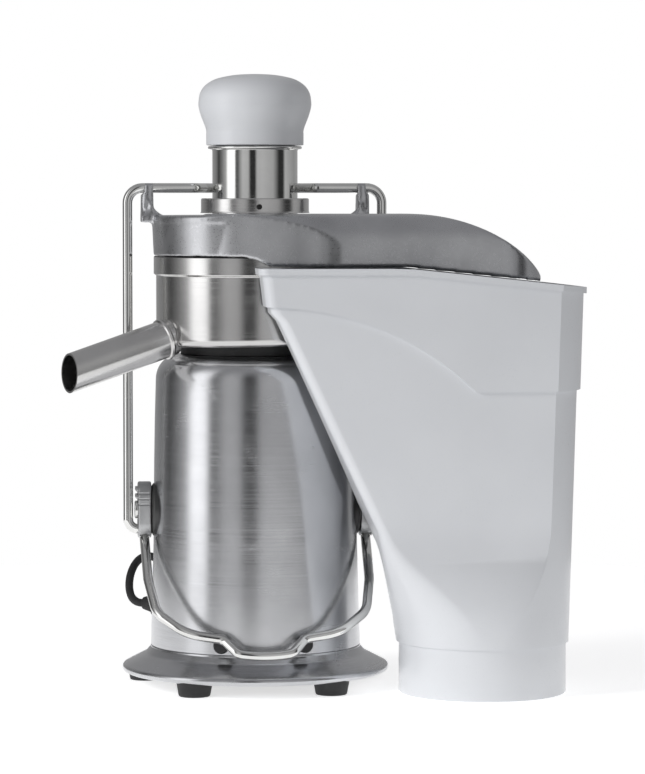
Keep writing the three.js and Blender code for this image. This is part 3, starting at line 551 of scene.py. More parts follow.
def makeGland(s):
    r = s["radius"]
    nut = turned(rounded([(8.2, 85.4), (11.6, 85.4, 1.2), (12, 90, 0.8), (12, 94.6, 1.4), (9.4, 95.4, 0.8),
                          (9.0, 96.4), (4, 96.4), (4, 85.4)]) + [(8.2, 85.4)], 64)
    ribs = []
    for i in range(12):
        rib = rodOf(1.5, onTurn(11.2, 30 * i, 87.4), onTurn(11.2, 30 * i, 93.6), 12)
        ribs.append(rib)
    sleeve = turned(rounded([(r + 0.25, 95), (8, 95), (7.6, 98, 0.6), (5.2, s["glandTip"], 0.8),
                             (r + 0.25, s["glandTip"])]) + [(r + 0.25, 95)], 48)
    gland = joined(nut, sleeve, *ribs)
    # its own axis lies level and points out of the housing
    lay = Matrix.Translation((0, 0, s["glandZ"])) @ spun(s["glandTurn"], "Z") \
        @ spun(90, "Y")
    return makePiece("cordGland", moved(gland, lay), "blackRubber", "machine", ["cable_gland"])


cord, cordLength, cordExit = makeCord(cordSet)
plugBody, plugPins = makePlug(cordSet)
cordGland = makeGland(cordSet)
print("cord laid, metres:", round(cordLength, 2))


# Base
baseSet = {"rim": 110.8, "rimZ": 14.5, "rimRound": 3.5, "seam": 33, "top": 41, "bore": 80.2,
           "footRing": 95, "footTop": 15, "footBottom": 13, "footHeight": 13, "firstFoot": 18, "feet": 5}


def makeBase(s):
    rimRound, footHeight = s["rimRound"], s["footHeight"]
    rimX = s["rim"] - rimRound
    profile = rounded([(s["bore"], s["top"]), (s["bore"], 20), (s["rim"] - 10, s["rimZ"] - rimRound),
                       (rimX, s["rimZ"] - rimRound)])
    profile += arcPoints(rimX, s["rimZ"], rimRound, -84, 62, 12)
    profile += rounded([(104, 19.4), (91.6, 26.6, 7), (87.3, 31.6, 3), (87.2, 32.6), (86.9, s["seam"])],
                       steps=7)[1:]
    profile += [(83.2, s["seam"]), (83.2, s["top"]), (s["bore"], s["top"])]
    makePiece("baseFlange", turned(profile, 144), "brushedAluminium", "machine", ["base_flange"])

    foot = rounded([(0, 3), (5, 3), (5.6, 2.4), (5.6, 0.4), (6.2, 0), (s["footBottom"] - 0.4, 0, 1.2),
                    (s["footBottom"] + 0.1, 1.6), (s["footTop"] - 0.1, footHeight - 1.5, 1),
                    (s["footTop"], footHeight + 0.5), (s["footTop"] - 3, footHeight + 2),
                    (0, footHeight + 2)], steps=4)
    for i in range(s["feet"]):
        rubber = turned(foot, 48)
        bmesh.ops.translate(rubber, vec=onTurn(s["footRing"], s["firstFoot"] + 360 / s["feet"] * i),
                            verts=rubber.verts)
        makePiece(f"rubberFoot{i + 1}", rubber, "blackRubber", "machine", [f"rubber_foot_{i + 1}"])


makeBase(baseSet)

# Motor housing
housingSet = {"foot": 87.2, "middle": 84.7, "upper": 84.0, "shoulder": 82.5, "round": 21, "top": 275,
              "middleZ": 118, "upperZ": 188, "seam": 33.3, "wall": 3, "neck": 22, "switchTurn": 62,
              "switchZ": 92}


def makeHousing(s):
    wall, switchZ = s["wall"], s["switchZ"]
    outer = [(s["foot"] - 0.3, s["seam"]), (s["foot"], s["seam"] + 0.4), (86.3, 60),
             (s["middle"], s["middleZ"]),
             (s["upper"], s["upperZ"]), (83.4, 222)]
    arcX, arcZ = s["shoulder"] - s["round"], s["top"] - s["round"]
    outer += arcPoints(arcX, arcZ, s["round"], 0, 90, 20)
    outer += [(s["neck"], s["top"]), (s["neck"], s["top"] - wall)]
    outer += arcPoints(arcX, arcZ, s["round"] - wall, 90, 0, 8)
    outer += [(s["middle"] - wall, s["middleZ"]), (s["foot"] - wall, s["seam"]), outer[0]]
    drum = turned(outer, 144)
    glandAt, toSwitch = cordSet["glandTurn"], spun(s["switchTurn"], "Z")
    drum = carved(
        drum,
        (cut, rodOf(5.6, onTurn(70, glandAt, cordSet["glandZ"]), onTurn(100, glandAt, cordSet["glandZ"]))),
        (cut, moved(boxOf((60, -9, switchZ - 13), (100, 9, switchZ + 13)), toSwitch)))
    makePiece("motorHousing", drum, "brushedAluminium", "machine", ["motor_housing"])

    bezel = boxOf((79, -14, switchZ - 18), (88.2, 14, switchZ + 18))
    eased(bezel, 1.2, 3)
    bezel = carved(bezel, (cut, boxOf((60, -8, switchZ - 12), (100, 8, switchZ + 12))))
    makePiece("switchBezel", moved(bezel, toSwitch), "blackPlastic", "machine", ["switch_frame"])
    rocker = pushed([(80.4, -11), (88.8, -11), (86.6, 0), (88.8, 11), (80.4, 11), (77.4, 0)], "XZ", -7.4,
                    7.4)
    bmesh.ops.translate(rocker, vec=(0, 0, switchZ), verts=rocker.verts)
    eased(rocker, 0.7, 3, 20)
    makePiece("switchRocker", moved(rocker, toSwitch), "blackPlastic", "rocker", ["switch_rocker"])


makeHousing(housingSet)

bufferSet = {"turn": 23, "z": 41, "radius": 6.5, "out": 90.1}


def makeBuffers(s):
    for side, turn in (("left", -90 - s["turn"]), ("right", -90 + s["turn"])):
        button = turned(rounded([(0, 84), (s["radius"], 84), (s["radius"], s["out"] - 0.2, 1.6),
                                 (3, s["out"] - 0.1, 1),
                                 (0, s["out"] - 0.4)], steps=5), 40)
        lay = Matrix.Translation((0, 0, s["z"])) @ spun(turn, "Z") \
            @ spun(90, "Y")
        makePiece(f"{side}RestBuffer", moved(button, lay), "blackRubber", "machine", [f"{side}_rest_buffer"])


makeBuffers(bufferSet)
print("base and housing made")

# Juice bowl and spout
bowlSet = {"radius": 82, "band": 84, "bandZ": 341, "top": 355.2, "floor": 283.5, "wall": 1.6, "edge": 7,
           "tilt": 1.4, "chimney": 20, "spoutTurn": 23.5, "spoutPitch": 16.8, "spoutRootZ": 289,
           "spoutRadius": 15.5, "spoutBore": 14, "spoutReach": 170}


# The floor of the bowl falls towards the spout; the band above stays level.
def tilted(bm, s):
    fall = onTurn(math.tan(math.radians(s["tilt"])), 180 + s["spoutTurn"])
    for v in bm.verts:
        share = max(0, min(1, (s["bandZ"] - 8 - v.co.z) / 30))
        v.co.z -= share * (v.co.x * fall.x + v.co.y * fall.y)
    return bm


def makeBowl(s):
    edge, floor, wall, chimney = s["edge"], s["floor"], s["wall"], s["chimney"]
    bandZ, band, top, spoutRadius = s["bandZ"], s["band"], s["top"], s["spoutRadius"]
    edgeX, edgeZ = s["radius"] - edge, floor + edge
    inside = s["radius"] - wall
    profile = [(chimney, floor)] + arcPoints(edgeX, edgeZ, edge, -90, 0, 10)
    profile += [(s["radius"], 302), (s["radius"], 318), (s["radius"], bandZ - 10)]
    profile += rounded([(s["radius"], bandZ - 9), (s["radius"], bandZ - 1.2, 0.8), (band, bandZ + 0.2, 0.8),
                        (band, top, 0.5), (band - wall, top, 0.5),
                        (band - wall, bandZ + 1.5), (inside, bandZ - 1), (inside, bandZ - 20)])
    profile += [(inside, 318), (inside, 302)] + arcPoints(edgeX, edgeZ, edge - wall, 0, -90, 6)
    profile += [(chimney + wall, floor + wall), (chimney + wall, floor + 8),
                (chimney, floor + 8), (chimney, floor)]
    bowl = tilted(turned(profile, 144), s)

    root = onTurn(s["radius"], 180 + s["spoutTurn"], s["spoutRootZ"])
    downhill = Matrix.Translation(root) @ spun(180 + s["spoutTurn"], "Z") \
        @ spun(s["spoutPitch"], "Y")

    def alongSpout(radius, start, end):
        return moved(rodOf(radius, (start, 0, 0), (end, 0, 0), 72), downhill)

    # the bore stops at the floor of the bowl
    belowFloor = turned([(0, 150), (s["radius"] + 5, 150), (s["radius"] + 5, floor - 0.5),
                         (0, floor - 0.5)], 64)
    hole = carved(alongSpout(s["spoutBore"], -30, 30), (cut, belowFloor.copy()))
    bowl = carved(bowl, (cut, hole))
    makePiece("juiceBowl", bowl, "satinSteel", "machine", ["juice_bowl"])

    bore = carved(alongSpout(s["spoutBore"], -40, 140), (cut, belowFloor))
    gap = 0.25
    bowlShape = tilted(turned([(0, floor - gap)] + arcPoints(edgeX, edgeZ, edge + gap, -90, 0, 10) + [
        (s["radius"] + gap, 311), (s["radius"] + gap, top), (0, top)], 144), s)
    weld = turned([(13, 0), (spoutRadius - 1, 0), (spoutRadius + 1.2, 0.8), (spoutRadius + 1.7, 2.2),
                   (spoutRadius + 1.3, 3.8), (spoutRadius - 1, 5.2), (13, 5.2), (13, 0)], 72)
    weld = moved(weld, downhill @ Matrix.Translation((0.5, 0, 0)) @ spun(90, "Y"))
    plumb = moved(boxOf((s["spoutReach"], -60, 150), (s["spoutReach"] + 90, 60, 350)),
                  spun(180 + s["spoutTurn"], "Z"))
    insideRoot = turned([(0, 150), (edgeX, 150), (edgeX, 400), (0, 400)], 64)
    spout = carved(alongSpout(spoutRadius, -12, 130), (cut, plumb), (add, weld),
                   (cut, bowlShape), (cut, insideRoot), (cut, bore))
    makePiece("juiceSpout", spout, "satinSteel", "machine", ["juice_spout"])


makeBowl(bowlSet)
print("bowl and spout made")


# Lid and pulp hood, one casting
lidSet = {"skirt": 84, "skirtFoot": 355.9, "rim": 86, "rimThick": 5.8, "top": 389.5, "wall": 3,
          "earX": 89.5, "earWidth": 10, "earTop": 416.6, "wireSeat": 407.6,
          "hoodTop": 391, "hoodBend": 143, "hoodBendX": 119, "hoodNoseX": 229, "hoodLeftX": -45,
          "hoodFrontY": -108, "hoodRearY": -17, "binRimZ": 347.5, "flatTo": 113, "rimFall": 6.1,
          "tubeHole": 35.6, "cell": 1.6, "relax": 5}


def hoodFoot(x, s):
    return s["binRimZ"] + 0.7 - max(0, x - s["flatTo"]) * math.tan(math.radians(s["rimFall"]))


def hoodForm(inset, s):
    # from the front: flat top, round falling back, and a lower edge that rolls down to the bin
    hoodLeftX = s["hoodLeftX"]
    radius, nose = s["hoodBend"] - inset, s["hoodNoseX"] - inset
    reach = math.degrees(math.acos((nose - s["hoodBendX"]) / radius))
    roll = rounded([(s["flatTo"], hoodFoot(0, s)), (6, hoodFoot(0, s), 12), (-6, s["skirtFoot"] - 2, 12),
                    (-16, s["skirtFoot"], 6), (hoodLeftX + inset, s["skirtFoot"])], steps=6)
    side = [(hoodLeftX + inset, s["hoodTop"] - inset)]
    side += arcPoints(s["hoodBendX"], s["hoodTop"] - s["hoodBend"], radius, 90, reach, 32)
    side += [(nose, hoodFoot(nose, s))] + roll
    # across: rounded shoulders
    rounding = 26 - inset
    front, rear, top = s["hoodFrontY"] + inset, s["hoodRearY"] - inset, s["hoodTop"] - inset
    across = [(front, 300)] + arcPoints(front + rounding, top - rounding, rounding, 180, 90, 16)
    across += arcPoints(rear - rounding, top - rounding, rounding, 90, 0, 16) + [(rear, 300)]
    # from above: the front wall runs off the rim of the lid and the nose is round
    half, middle = (rear - front) / 2, (rear + front) / 2
    nose -= half * 0.8
    runOff = [(hoodLeftX + inset, -70 + inset), (-30, -80 + inset), (-16, -87 + inset), (5, -94 + inset),
              (30, -101 + inset), (60, front), (100, front)]
    plan = [(hoodLeftX + inset, rear)] + [tuple(p)[:2] for p in smoothLine([(*p, 0) for p in runOff], 4)]
    plan += [(nose + x * 0.8, y) for x, y in arcPoints(0, middle, half, -90, 90, 28)]
    return carved(pushed(side, "XZ", -118, -10), (keep, pushed(across, "YZ", -60, 300)),
                  (keep, pushed(plan, "XY", 280, 420)))


# An ear on each side carries the wire: a pale seat plate, and a rib that hooks up in front of it.
def earForm(s, sign):
    top = s["top"]
    low, out = top - s["rimThick"], s["earX"] + s["earWidth"] / 2
    inner = s["earX"] - s["earWidth"] / 2
    plate = pushed(rounded([(-9, low), (13, low), (14, top), (9, top + 5, 5), (7, s["wireSeat"], 1),
                            (-7, s["wireSeat"], 1), (-9, top + 6)]), "YZ", inner, out)
    hook = pushed(rounded([(-14.5, low), (-4, low), (-4.7, s["earTop"] - 2), (-5.2, s["earTop"], 2),
                           (-8.4, s["earTop"] - 1, 2), (-10.8, top + 6, 6), (-14.5, top)]),
                  "YZ", inner + 0.2, inner + 7.4)
    root = boxOf((74, -14.5, low), (out, 14, top))
    web = pushed(rounded([(74, low), (inner + 3, low), (inner + 3, top + 12), (inner - 0.5, top + 5, 6),
                          (inner - 7, top, 4), (74, top)]), "XZ", -14, -5)
    parts = [plate, hook, root, web]
    return [mirrored(bm) for bm in parts] if sign < 0 else parts


def makeLid(s):
    top, skirtFoot, rim = s["top"], s["skirtFoot"], s["rim"]
    rimLow = top - s["rimThick"]
    outer = turned(rounded([(0, skirtFoot), (s["skirt"], skirtFoot), (s["skirt"] + 1.2, rimLow - 1),
                            (rim - 0.6, rimLow), (rim + 0.1, rimLow + 0.8), (rim + 0.3, top - 1.4),
                            (rim - 0.8, top), (0, top)]), 160)
    inside = s["skirt"] - s["wall"]
    hollow = turned([(0, skirtFoot - 5), (inside, skirtFoot - 5), (inside, rimLow - 6),
                     (inside - 6, rimLow), (0, rimLow)], 96)
    ears = [(add, part) for sign in (-1, 1) for part in earForm(s, sign)]
    tubeHole = turned([(0, 300), (s["tubeHole"], 300), (s["tubeHole"], 500), (0, 500)], 96)
    underBowl = turned([(0, 250), (85.2, 250), (85.2, skirtFoot), (0, skirtFoot)], 96)
    tunnel = carved(hoodForm(s["wall"], s), (cut, turned([(0, 300), (60, 300), (60, 500), (0, 500)], 96)))
    low = carved(hoodForm(s["wall"], s), (keep, boxOf((-60, -120, 280), (260, 0, rimLow))))
    lid = carved(outer, (add, hoodForm(0, s)), *ears, (cut, hollow), (cut, tunnel),
                 (cut, low), (cut, tubeHole), (cut, underBowl))
    print("lid carved, faces:", len(lid.faces))
    lid = castForm(lid, s["cell"], s["relax"])
    makePiece("lidAndHood", lid, "castAluminium", "machine", ["lid"], 70)


makeLid(lidSet)
print("lid cast")

# Feed collar, tube and pusher
feedSet = {"tube": 35.3, "wall": 1.5, "low": 334, "high": 447, "lip": 39, "collar": 44.7, "collarLow": 391.3,
           "collarHigh": 403.5, "screwZ": 396.5, "knobFoot": 447.3, "knobTop": 506, "neck": 40.3,
           "knob": 46.7,
           "stem": 32.9, "stemLow": 352}


def makeFeed(s):
    high, lip, collarLow, neck = s["high"], s["lip"], s["collarLow"], s["neck"]
    knobTop = s["knobTop"]
    inner = s["tube"] - s["wall"]
    tube = [(s["tube"], s["low"]), (s["tube"], 400), (s["tube"], high - 5)]
    tube += rounded([(s["tube"], high - 4.6), (s["tube"] + 0.2, high - 3.2, 1), (lip - 0.4, high - 2.6, 0.5),
                     (lip, high - 1.6, 0.6), (lip - 0.6, high - 0.5, 0.5),
                     (lip - 2.5, high - 0.35), (inner, high - 2.2)])
    tube += [(inner, 400), (inner, s["low"]), tube[0]]
    makePiece("feedTube", turned(tube, 128), "polishedSteel", "machine", ["feed_tube"])

    collar = turned(rounded([(s["tube"] + 0.3, collarLow), (s["collar"] + 0.6, collarLow),
                             (s["collar"], collarLow + 1.4, 0.6), (s["collar"], s["collarHigh"], 1.3),
                             (s["tube"] + 0.3, s["collarHigh"])],
                            steps=5) + [(s["tube"] + 0.3, collarLow)], 128)
    collar = carved(collar, (cut, rodOf(2.3, (0, -50, s["screwZ"]), (0, -30, s["screwZ"]), 24)))
    makePiece("feedCollar", collar, "satinSteel", "machine", ["feed_collar"])
    screw = turned([(0, 0), (2, 0), (2, 6.6), (1.6, 7), (1, 7), (0.9, 5.4), (0, 5.4)], 32)
    lay = Matrix.Translation((0, -36, s["screwZ"])) @ spun(90, "X")
    makePiece("collarSetScrew", moved(screw, lay), "darkMetal", "machine", ["collar_set_screw"])

    foot = s["knobFoot"]
    crown = [(neck, foot + 9), (neck, foot + 12), (neck + 1.1, foot + 16), (neck + 4.2, foot + 24),
             (s["knob"] - 0.25, foot + 31), (s["knob"], foot + 35.5), (s["knob"] - 1.3, foot + 43),
             (s["knob"] - 5.5, foot + 49.4), (s["knob"] - 14, knobTop - 4.1),
             (s["knob"] - 27, knobTop - 1.1),
             (8, knobTop - 0.1), (0, knobTop)]
    knob = rounded([(0, foot), (neck, foot, 1), (neck, foot + 8)], steps=4)
    knob += [(p.x, p.y) for p in smoothLine([(*p, 0) for p in crown], 5)]
    knob[-1] = (0, knobTop)
    makePiece("pusherKnob", turned(knob, 128), "whitePlastic", "pusher", ["pusher_knob"])
    stem = turned(rounded([(0, s["stemLow"]), (s["stem"], s["stemLow"], 3), (s["stem"], foot - 0.3),
                           (0, foot - 0.3)]), 96)
    makePiece("pusherStem", stem, "whitePlastic", "pusher", ["pusher_stem"])


makeFeed(feedSet)
print("feed tube and pusher made")

# Clamp
clampSet = {"wire": 4, "bailX": 105.7, "bailTop": 412, "pivotZ": 145.5, "pinDrop": 16, "leverIn": 86.8,
            "leverThick": 11, "halfWide": 13, "halfHigh": 23.5, "handleX": 92.3, "handleTop": 121.5,
            "slant": 1.21, "shoulderZ": 47.2, "dropZ": 34.2, "boss": 22, "pin": 5, "hug": 40.5}


def leverForm(s):
    halfHigh, pivotZ = s["halfHigh"], s["pivotZ"]
    straight = halfHigh - s["halfWide"]
    outline = arcPoints(0, pivotZ + straight, s["halfWide"], 0, 180, 20)
    outline += arcPoints(0, pivotZ - straight, s["halfWide"], 180, 360, 20)
    inside, outside = s["leverIn"], s["leverIn"] + s["leverThick"]
    body = eased(pushed(outline, "YZ", inside, outside), 1.4, 3, 50)
    steps = [(cut, rodOf(s["pin"] + 0.3, (60, 0, pivotZ), (110, 0, pivotZ), 32)),
             (cut, rodOf(s["wire"] + 0.5, (inside + 1, 0, pivotZ - s["pinDrop"]),
                                  (110, 0, pivotZ - s["pinDrop"]), 32)),
             (cut, boxOf((s["handleX"] - 4.3, -34, pivotZ - halfHigh - 5),
                                  (s["handleX"] + 4.3, 4.3, pivotZ - halfHigh + 3.5)))]
    # finger grooves across the front edge near the top, and the ribs they leave
    for i in range(3):
        z = pivotZ + halfHigh - 9 - 4.6 * i
        steps.append((cut, rodOf(1.5, (inside + 1.6, -13.6 + 0.9 * (i == 0), z),
                                          (outside + 2, -13.6 + 0.9 * (i == 0), z), 20)))
    body = carved(body, *steps)
    ribs = []
    for i in range(2):
        z = pivotZ + halfHigh - 6.2 - 6 * i
        rib = boxOf((outside - 1, -8, z - 1.75), (outside + 2, 8, z + 1.75))
        ribs.append(eased(rib, 0.8, 2))
    return joined(body, *ribs)


def makeClamp(s):
    shoulderZ = s["shoulderZ"]
    for side in ("left", "right"):
        flip = mirrored if side == "left" else (lambda bm: bm)
        upright = Matrix.Translation((0, 0, s["pivotZ"])) @ spun(90, "Y")
        boss = turned(rounded([(s["pin"] + 0.3, 77), (s["boss"], 77), (s["boss"], 84.8, 1.4),
                               (s["boss"] - 2.4, 86.4, 0.6),
                               (s["pin"] + 0.3, 86.4)], steps=5) + [(s["pin"] + 0.3, 77)], 64)
        makePiece(f"{side}PivotBoss", flip(moved(boss, upright)), "darkMetal", "machine",
                  [f"{side}_pivot_boss"])
        makePiece(f"{side}ClampLever", flip(leverForm(s)), "plainSteel", "handle", [f"{side}_clamp_lever"])
        head = s["leverIn"] + s["leverThick"] + 0.3
        pin = turned(rounded([(0, 84.9), (s["pin"], 84.9), (s["pin"], head), (s["pin"] + 2.5, head),
                              (s["pin"] + 2.5, head + 2.3, 1.4), (2.4, head + 2.3), (2, head + 1.3),
                              (0, head + 1.3)]), 48)
        makePiece(f"{side}PivotPin", flip(moved(pin, upright)), "polishedSteel", "machine",
                  [f"{side}_pivot_pin"])

    hug, top, foot = s["hug"], s["bailTop"], s["pivotZ"] - s["pinDrop"]
    half = [((s["leverIn"] + 2, 0, foot), 0), ((s["bailX"], 0, foot), 8), ((s["bailX"], 0, top), 12.5),
            ((hug + 9, 0, top), 6), ((hug + 1, hug * 0.5, top), 10), ((hug * 0.62, hug * 1.02, top), 16)]
    makePiece("clampBail", wireOf(half + [((-p[0], p[1], p[2]), r) for p, r in reversed(half)], s["wire"]),
              "polishedSteel", "bail", ["clamp_bail"])

    def onBow(x, z):
        return (x, -s["slant"] * (s["handleTop"] - z), z)

    half = [(onBow(s["handleX"], s["handleTop"]), 0), (onBow(s["handleX"] - 1, shoulderZ + 43), 50),
            (onBow(s["handleX"] - 6.5, shoulderZ + 19.5), 25), (onBow(62, shoulderZ + 4), 45),
            (onBow(33, shoulderZ), 9), (onBow(22, s["dropZ"] + 2.8), 9)]
    bow = half + [(onBow(0, s["dropZ"]), 90)] + [((-p[0], p[1], p[2]), r) for p, r in reversed(half)]
    makePiece("clampHandle", wireOf(bow, s["wire"]), "polishedSteel", "handle", ["clamp_handle"])


makeClamp(clampSet)
print("clamp made")


# Pulp bin
binSet = {"centreX": 181, "centreY": -69, "foot": 68.5, "stepZ": 42, "wall": 2.6, "frontY": -127,
          "rearY": -15,
          "rimZ": 347.5, "rimFall": 6.1, "flatTo": 113, "leftX": -3, "band": 3, "lip": 2.5, "clear": 91.5,
          "bandZ": 79, "bandArc": 238, "bandFlatX": 167, "roundTo": 140, "roundReach": 3.5}
binSlant = [(42, 114), (64, 109.5), (83, 103.8), (110, 96), (136, 89.2), (305, 9.5), (312, 3), (360, -3)]


def slantX(z):
    for (z0, x0), (z1, x1) in zip(binSlant, binSlant[1:]):
        if z <= z1:
            return x0 + (x1 - x0) * (z - z0) / (z1 - z0)
    return binSlant[-1][1]


# The bin's outline at one height. High up it has a flat left end with a rounded front corner; low down
# the same points lie on a circle, like its foot.
def binOutline(z, inset, s):
    t = max(0, min(1, (z - s["stepZ"]) / (s["roundTo"] - s["stepZ"])))
    flat = softShare(t)
    full = 70.6 + (z - s["stepZ"]) * 0.029
    radius, left = full - inset, slantX(z) + inset * 1.1
    front = (s["frontY"] + 0.012 * (340 - z)) * flat + (s["centreY"] - full + 0.2) * (1 - flat) + inset
    rear = s["rearY"] * flat + (s["centreY"] + full - 0.2) * (1 - flat) - inset
    a0 = -math.degrees(math.asin(min(1, (s["centreY"] - front) / radius)))
    a1 = math.degrees(math.asin(min(1, (rear - s["centreY"]) / radius)))
    corner = min(11 - inset, 9)
    reach = left - s["roundReach"] * (1 - flat)
    side = [(left, rear + (front + corner - rear) * k / 12) for k in range(12)]
    side += arcPoints(left + corner, front + corner, corner, 180, 270, 11)
    points = []
    for k, (x, y) in enumerate(side):
        turn = math.radians(90 + 180 * (k + 1) / (len(side) + 1))
        points.append((x * flat + (s["centreX"] + (s["centreX"] - reach) * math.cos(turn)) * (1 - flat),
                       y * flat + (s["centreY"] + radius * math.sin(turn)) * (1 - flat)))
    lag = min(x for x, y in points) - reach
    points = [(x - lag, y) for x, y in points]
    return points + arcPoints(s["centreX"], s["centreY"], radius, a0, a1, 56)


def binForm(inset, s):
    bm = bmesh.new()
    levels = [42, 49, 56, 64, 70, 76, 83, 90, 97, 104, 110, 117, 124, 130, 136, 145, 160, 190, 220, 250,
              280, 305, 312, 336, 360]
    rings = []
    for z in levels:
        verts = [bm.verts.new((x, y, z)) for x, y in binOutline(z, inset, s)]
        rings.append([bm.edges.new((a, b)) for a, b in zip(verts, verts[1:] + verts[:1])])
    for lower, upper in zip(rings, rings[1:]):
        bmesh.ops.bridge_loops(bm, edges=lower + upper)
    bmesh.ops.contextual_create(bm, geom=rings[0])
    bmesh.ops.contextual_create(bm, geom=rings[-1])
    bmesh.ops.recalc_face_normals(bm, faces=bm.faces)
    return bm


def makeBin(s):
    rimZ, flatTo, stepZ = s["rimZ"], s["flatTo"], s["stepZ"]
    fall = math.tan(math.radians(s["rimFall"]))

    def aboveRim(drop):
        return pushed([(-60, rimZ - drop), (flatTo - 14, rimZ - drop),
                       (flatTo + 4, rimZ - drop - 4.5 * fall), (flatTo + 30, rimZ - drop - 30 * fall),
                       (320, rimZ - drop - (320 - flatTo) * fall), (320, 420), (-60, 420)], "XZ", -200, 100)

    def bandRegion(lift):
        edge = []
        for i in range(25):
            x = -20 + (s["bandFlatX"] + 20) * i / 24
            edge.append((x, s["bandZ"] + lift + math.sqrt(s["bandArc"] ** 2 - max(0, x) ** 2)))
        return pushed(edge + [(330, edge[-1][1]), (330, 420), (-20, 420)], "XZ", -220, 100)

    def roomFor(wall):
        around = turned([(0, 0), (s["clear"] + wall, 0), (s["clear"] + wall, 420), (0, 420)], 160)
        lever = boxOf((0, -44 - wall, 60 - wall), (110 + wall, 60, 180 + wall))
        back = boxOf((0, -13 - wall, 0), (112 + wall, 60, 420))
        return [around, lever, back]

    band = carved(binForm(-s["band"], s), (keep, bandRegion(0)))
    rim = carved(binForm(-s["band"] - s["lip"], s), (cut, aboveRim(0)), (keep, aboveRim(5)))
    outer = carved(binForm(0, s), (add, band), (cut, aboveRim(0)), (add, rim),
                   *[(cut, tool) for tool in roomFor(0)])
    upperRoom = carved(binForm(-s["band"] + s["wall"], s), (keep, bandRegion(3)))
    hollow = carved(binForm(s["wall"], s), (add, upperRoom), *[(cut, tool) for tool in roomFor(s["wall"])],
                    (cut, boxOf((-100, -300, 0), (400, 200, stepZ + 0.5))))
    foot = turned(rounded([(0, 3), (s["foot"] - 4, 3, 1), (s["foot"] - s["wall"], 0, 0.8),
                           (s["foot"] - 0.6, 0, 0.6),
                           (s["foot"], 1), (s["foot"], stepZ + 1), (0, stepZ + 1)]), 160)
    footRoom = turned(rounded([(0, 5.6), (s["foot"] - s["wall"], 5.6, 3), (s["foot"] - s["wall"], stepZ + 2),
                               (0, stepZ + 2)]), 128)
    for bm in (foot, footRoom):
        bmesh.ops.translate(bm, vec=(s["centreX"], s["centreY"], 0), verts=bm.verts)
    whole = carved(outer, (cut, hollow), (add, foot), (cut, footRoom))
    makePiece("pulpBin", whole, "whitePlastic", "bin", ["pulp_bin"], 38)


makeBin(binSet)
print("pulp bin made")

# Floor, world and lights
studioSet = {"floor": 1.0, "floorTone": 0.9, "floorGlow": 0.62, "keyPower": 34, "fillPower": 0.5}
# brightness round the room as the polished metal sees it: degrees clockwise from the camera, and level
studioBands = [(-180, 0.40), (-130, 0.22), (-115, 0.05), (-100, 0.20), (-85, 0.45), (-76, 1.6), (-58, 1.6),
               (-53, 0.12), (-47, 0.10), (-40, 0.35), (-33, 0.55), (-18, 0.50), (-12, 0.03), (0, 0.03),
               (6, 0.50), (20, 0.52), (50, 0.42), (62, 0.15), (68, 0.03), (82, 0.03), (90, 0.48),
               (105, 0.40),
               (130, 0.30), (180, 0.40)]


def makeFloor(s):
    floor = bmesh.new()
    bmesh.ops.create_circle(floor, cap_ends=True, segments=96, radius=s["floor"])
    obj = looseObject(floor, "studioFloor")
    material = bpy.data.materials.new("paleFloor")
    material.use_nodes = True
    shader = material.node_tree.nodes["Principled BSDF"]
    shader.inputs["Base Color"].default_value = (s["floorTone"],) * 3 + (1,)
    shader.inputs["Roughness"].default_value = 0.9
    shader.inputs["Emission Color"].default_value = (1, 1, 1, 1)
    shader.inputs["Emission Strength"].default_value = s["floorGlow"]
    obj.data.materials.append(material)


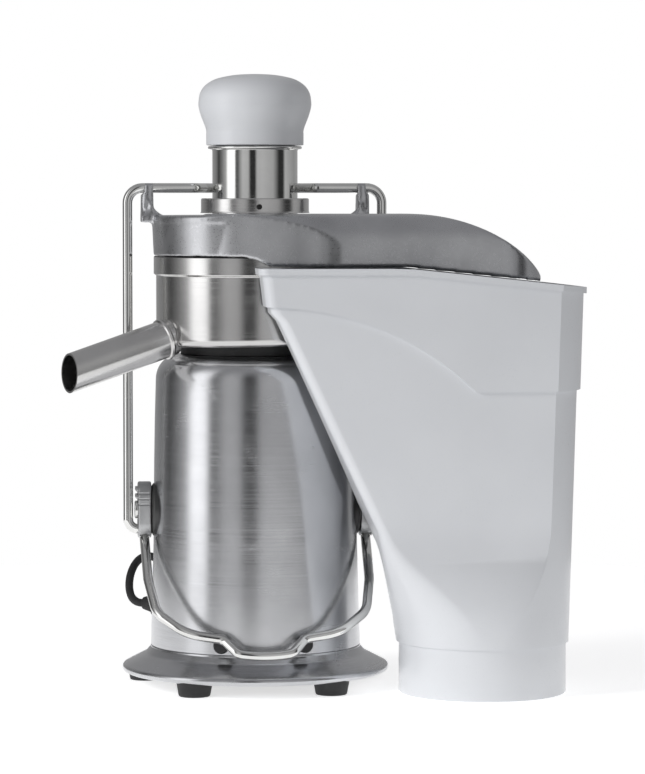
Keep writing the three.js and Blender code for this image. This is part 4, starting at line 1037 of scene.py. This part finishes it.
def makeWorld():
    world = bpy.data.worlds.new("studio")
    world.use_nodes = True
    bpy.context.scene.world = world
    nodes, links = world.node_tree.nodes, world.node_tree.links
    nodes.clear()
    where = nodeOf(nodes, "TexCoord")
    turn = nodeOf(nodes, "VectorRotate", {"Angle": math.radians(cameraSet["turn"])},
                  rotation_type="Z_AXIS")
    parts = nodeOf(nodes, "SeparateXYZ")
    towards = nodeOf(nodes, "Math", {1: -1}, operation="MULTIPLY")
    angle = nodeOf(nodes, "Math", operation="ARCTAN2")
    share = nodeOf(nodes, "MapRange", {"From Min": -math.pi, "From Max": math.pi})
    bands = nodeOf(nodes, "ValToRGB")
    ramp = bands.color_ramp
    while len(ramp.elements) > 1:
        ramp.elements.remove(ramp.elements[-1])
    for i, (degrees, level) in enumerate(studioBands):
        stop = ramp.elements[0] if i == 0 else ramp.elements.new((degrees + 180) / 360)
        stop.position = (degrees + 180) / 360
        stop.color = (level / 2, level / 2, level / 2 * 1.01, 1)
    above = nodeOf(nodes, "MapRange", {"From Min": 0.35, "From Max": 0.9},
                   interpolation_type="SMOOTHSTEP")
    overhead = nodeOf(nodes, "Mix", {"B": (0.16, 0.16, 0.165, 1)}, data_type="RGBA")
    room = nodeOf(nodes, "Background", {"Strength": 2})
    white = nodeOf(nodes, "Background", {"Color": (1, 1, 1, 1)})
    seen = nodeOf(nodes, "LightPath")
    choose = nodeOf(nodes, "MixShader")
    out = nodeOf(nodes, "OutputWorld")
    links.new(where.outputs["Generated"], turn.inputs["Vector"])
    links.new(turn.outputs["Vector"], parts.inputs["Vector"])
    links.new(parts.outputs["Y"], towards.inputs[0])
    links.new(parts.outputs["X"], angle.inputs[0])
    links.new(towards.outputs[0], angle.inputs[1])
    links.new(angle.outputs[0], share.inputs["Value"])
    links.new(share.outputs["Result"], bands.inputs["Fac"])
    links.new(parts.outputs["Z"], above.inputs["Value"])
    links.new(above.outputs["Result"], overhead.inputs["Factor"])
    links.new(bands.outputs["Color"], overhead.inputs["A"])
    links.new(overhead.outputs["Result"], room.inputs["Color"])
    links.new(seen.outputs["Is Camera Ray"], choose.inputs["Fac"])
    links.new(room.outputs[0], choose.inputs[1])
    links.new(white.outputs[0], choose.inputs[2])
    links.new(choose.outputs[0], out.inputs["Surface"])


# A soft area light that the metal doesn't mirror.
def makeLight(name, position, target, size, power):
    data = bpy.data.lights.new(name, "AREA")
    data.shape = "DISK"
    data.size = size
    data.energy = power
    light = bpy.data.objects.new(name, data)
    bpy.context.collection.objects.link(light)
    light.location = position
    light.rotation_euler = (Vector(target) - Vector(position)).to_track_quat("-Z", "Y").to_euler()
    light.visible_glossy = False


makeFloor(studioSet)
makeWorld()
makeLight("keyLight", (-2.6, -1.3, 1.5), (0, 0, 0.2), 1.0, studioSet["keyPower"])
makeLight("fillLight", (1.8, -0.8, 1.2), (0, 0, 0.2), 1.2, studioSet["fillPower"])
bpy.context.scene.view_settings.view_transform = "Standard"
print("studio set up")
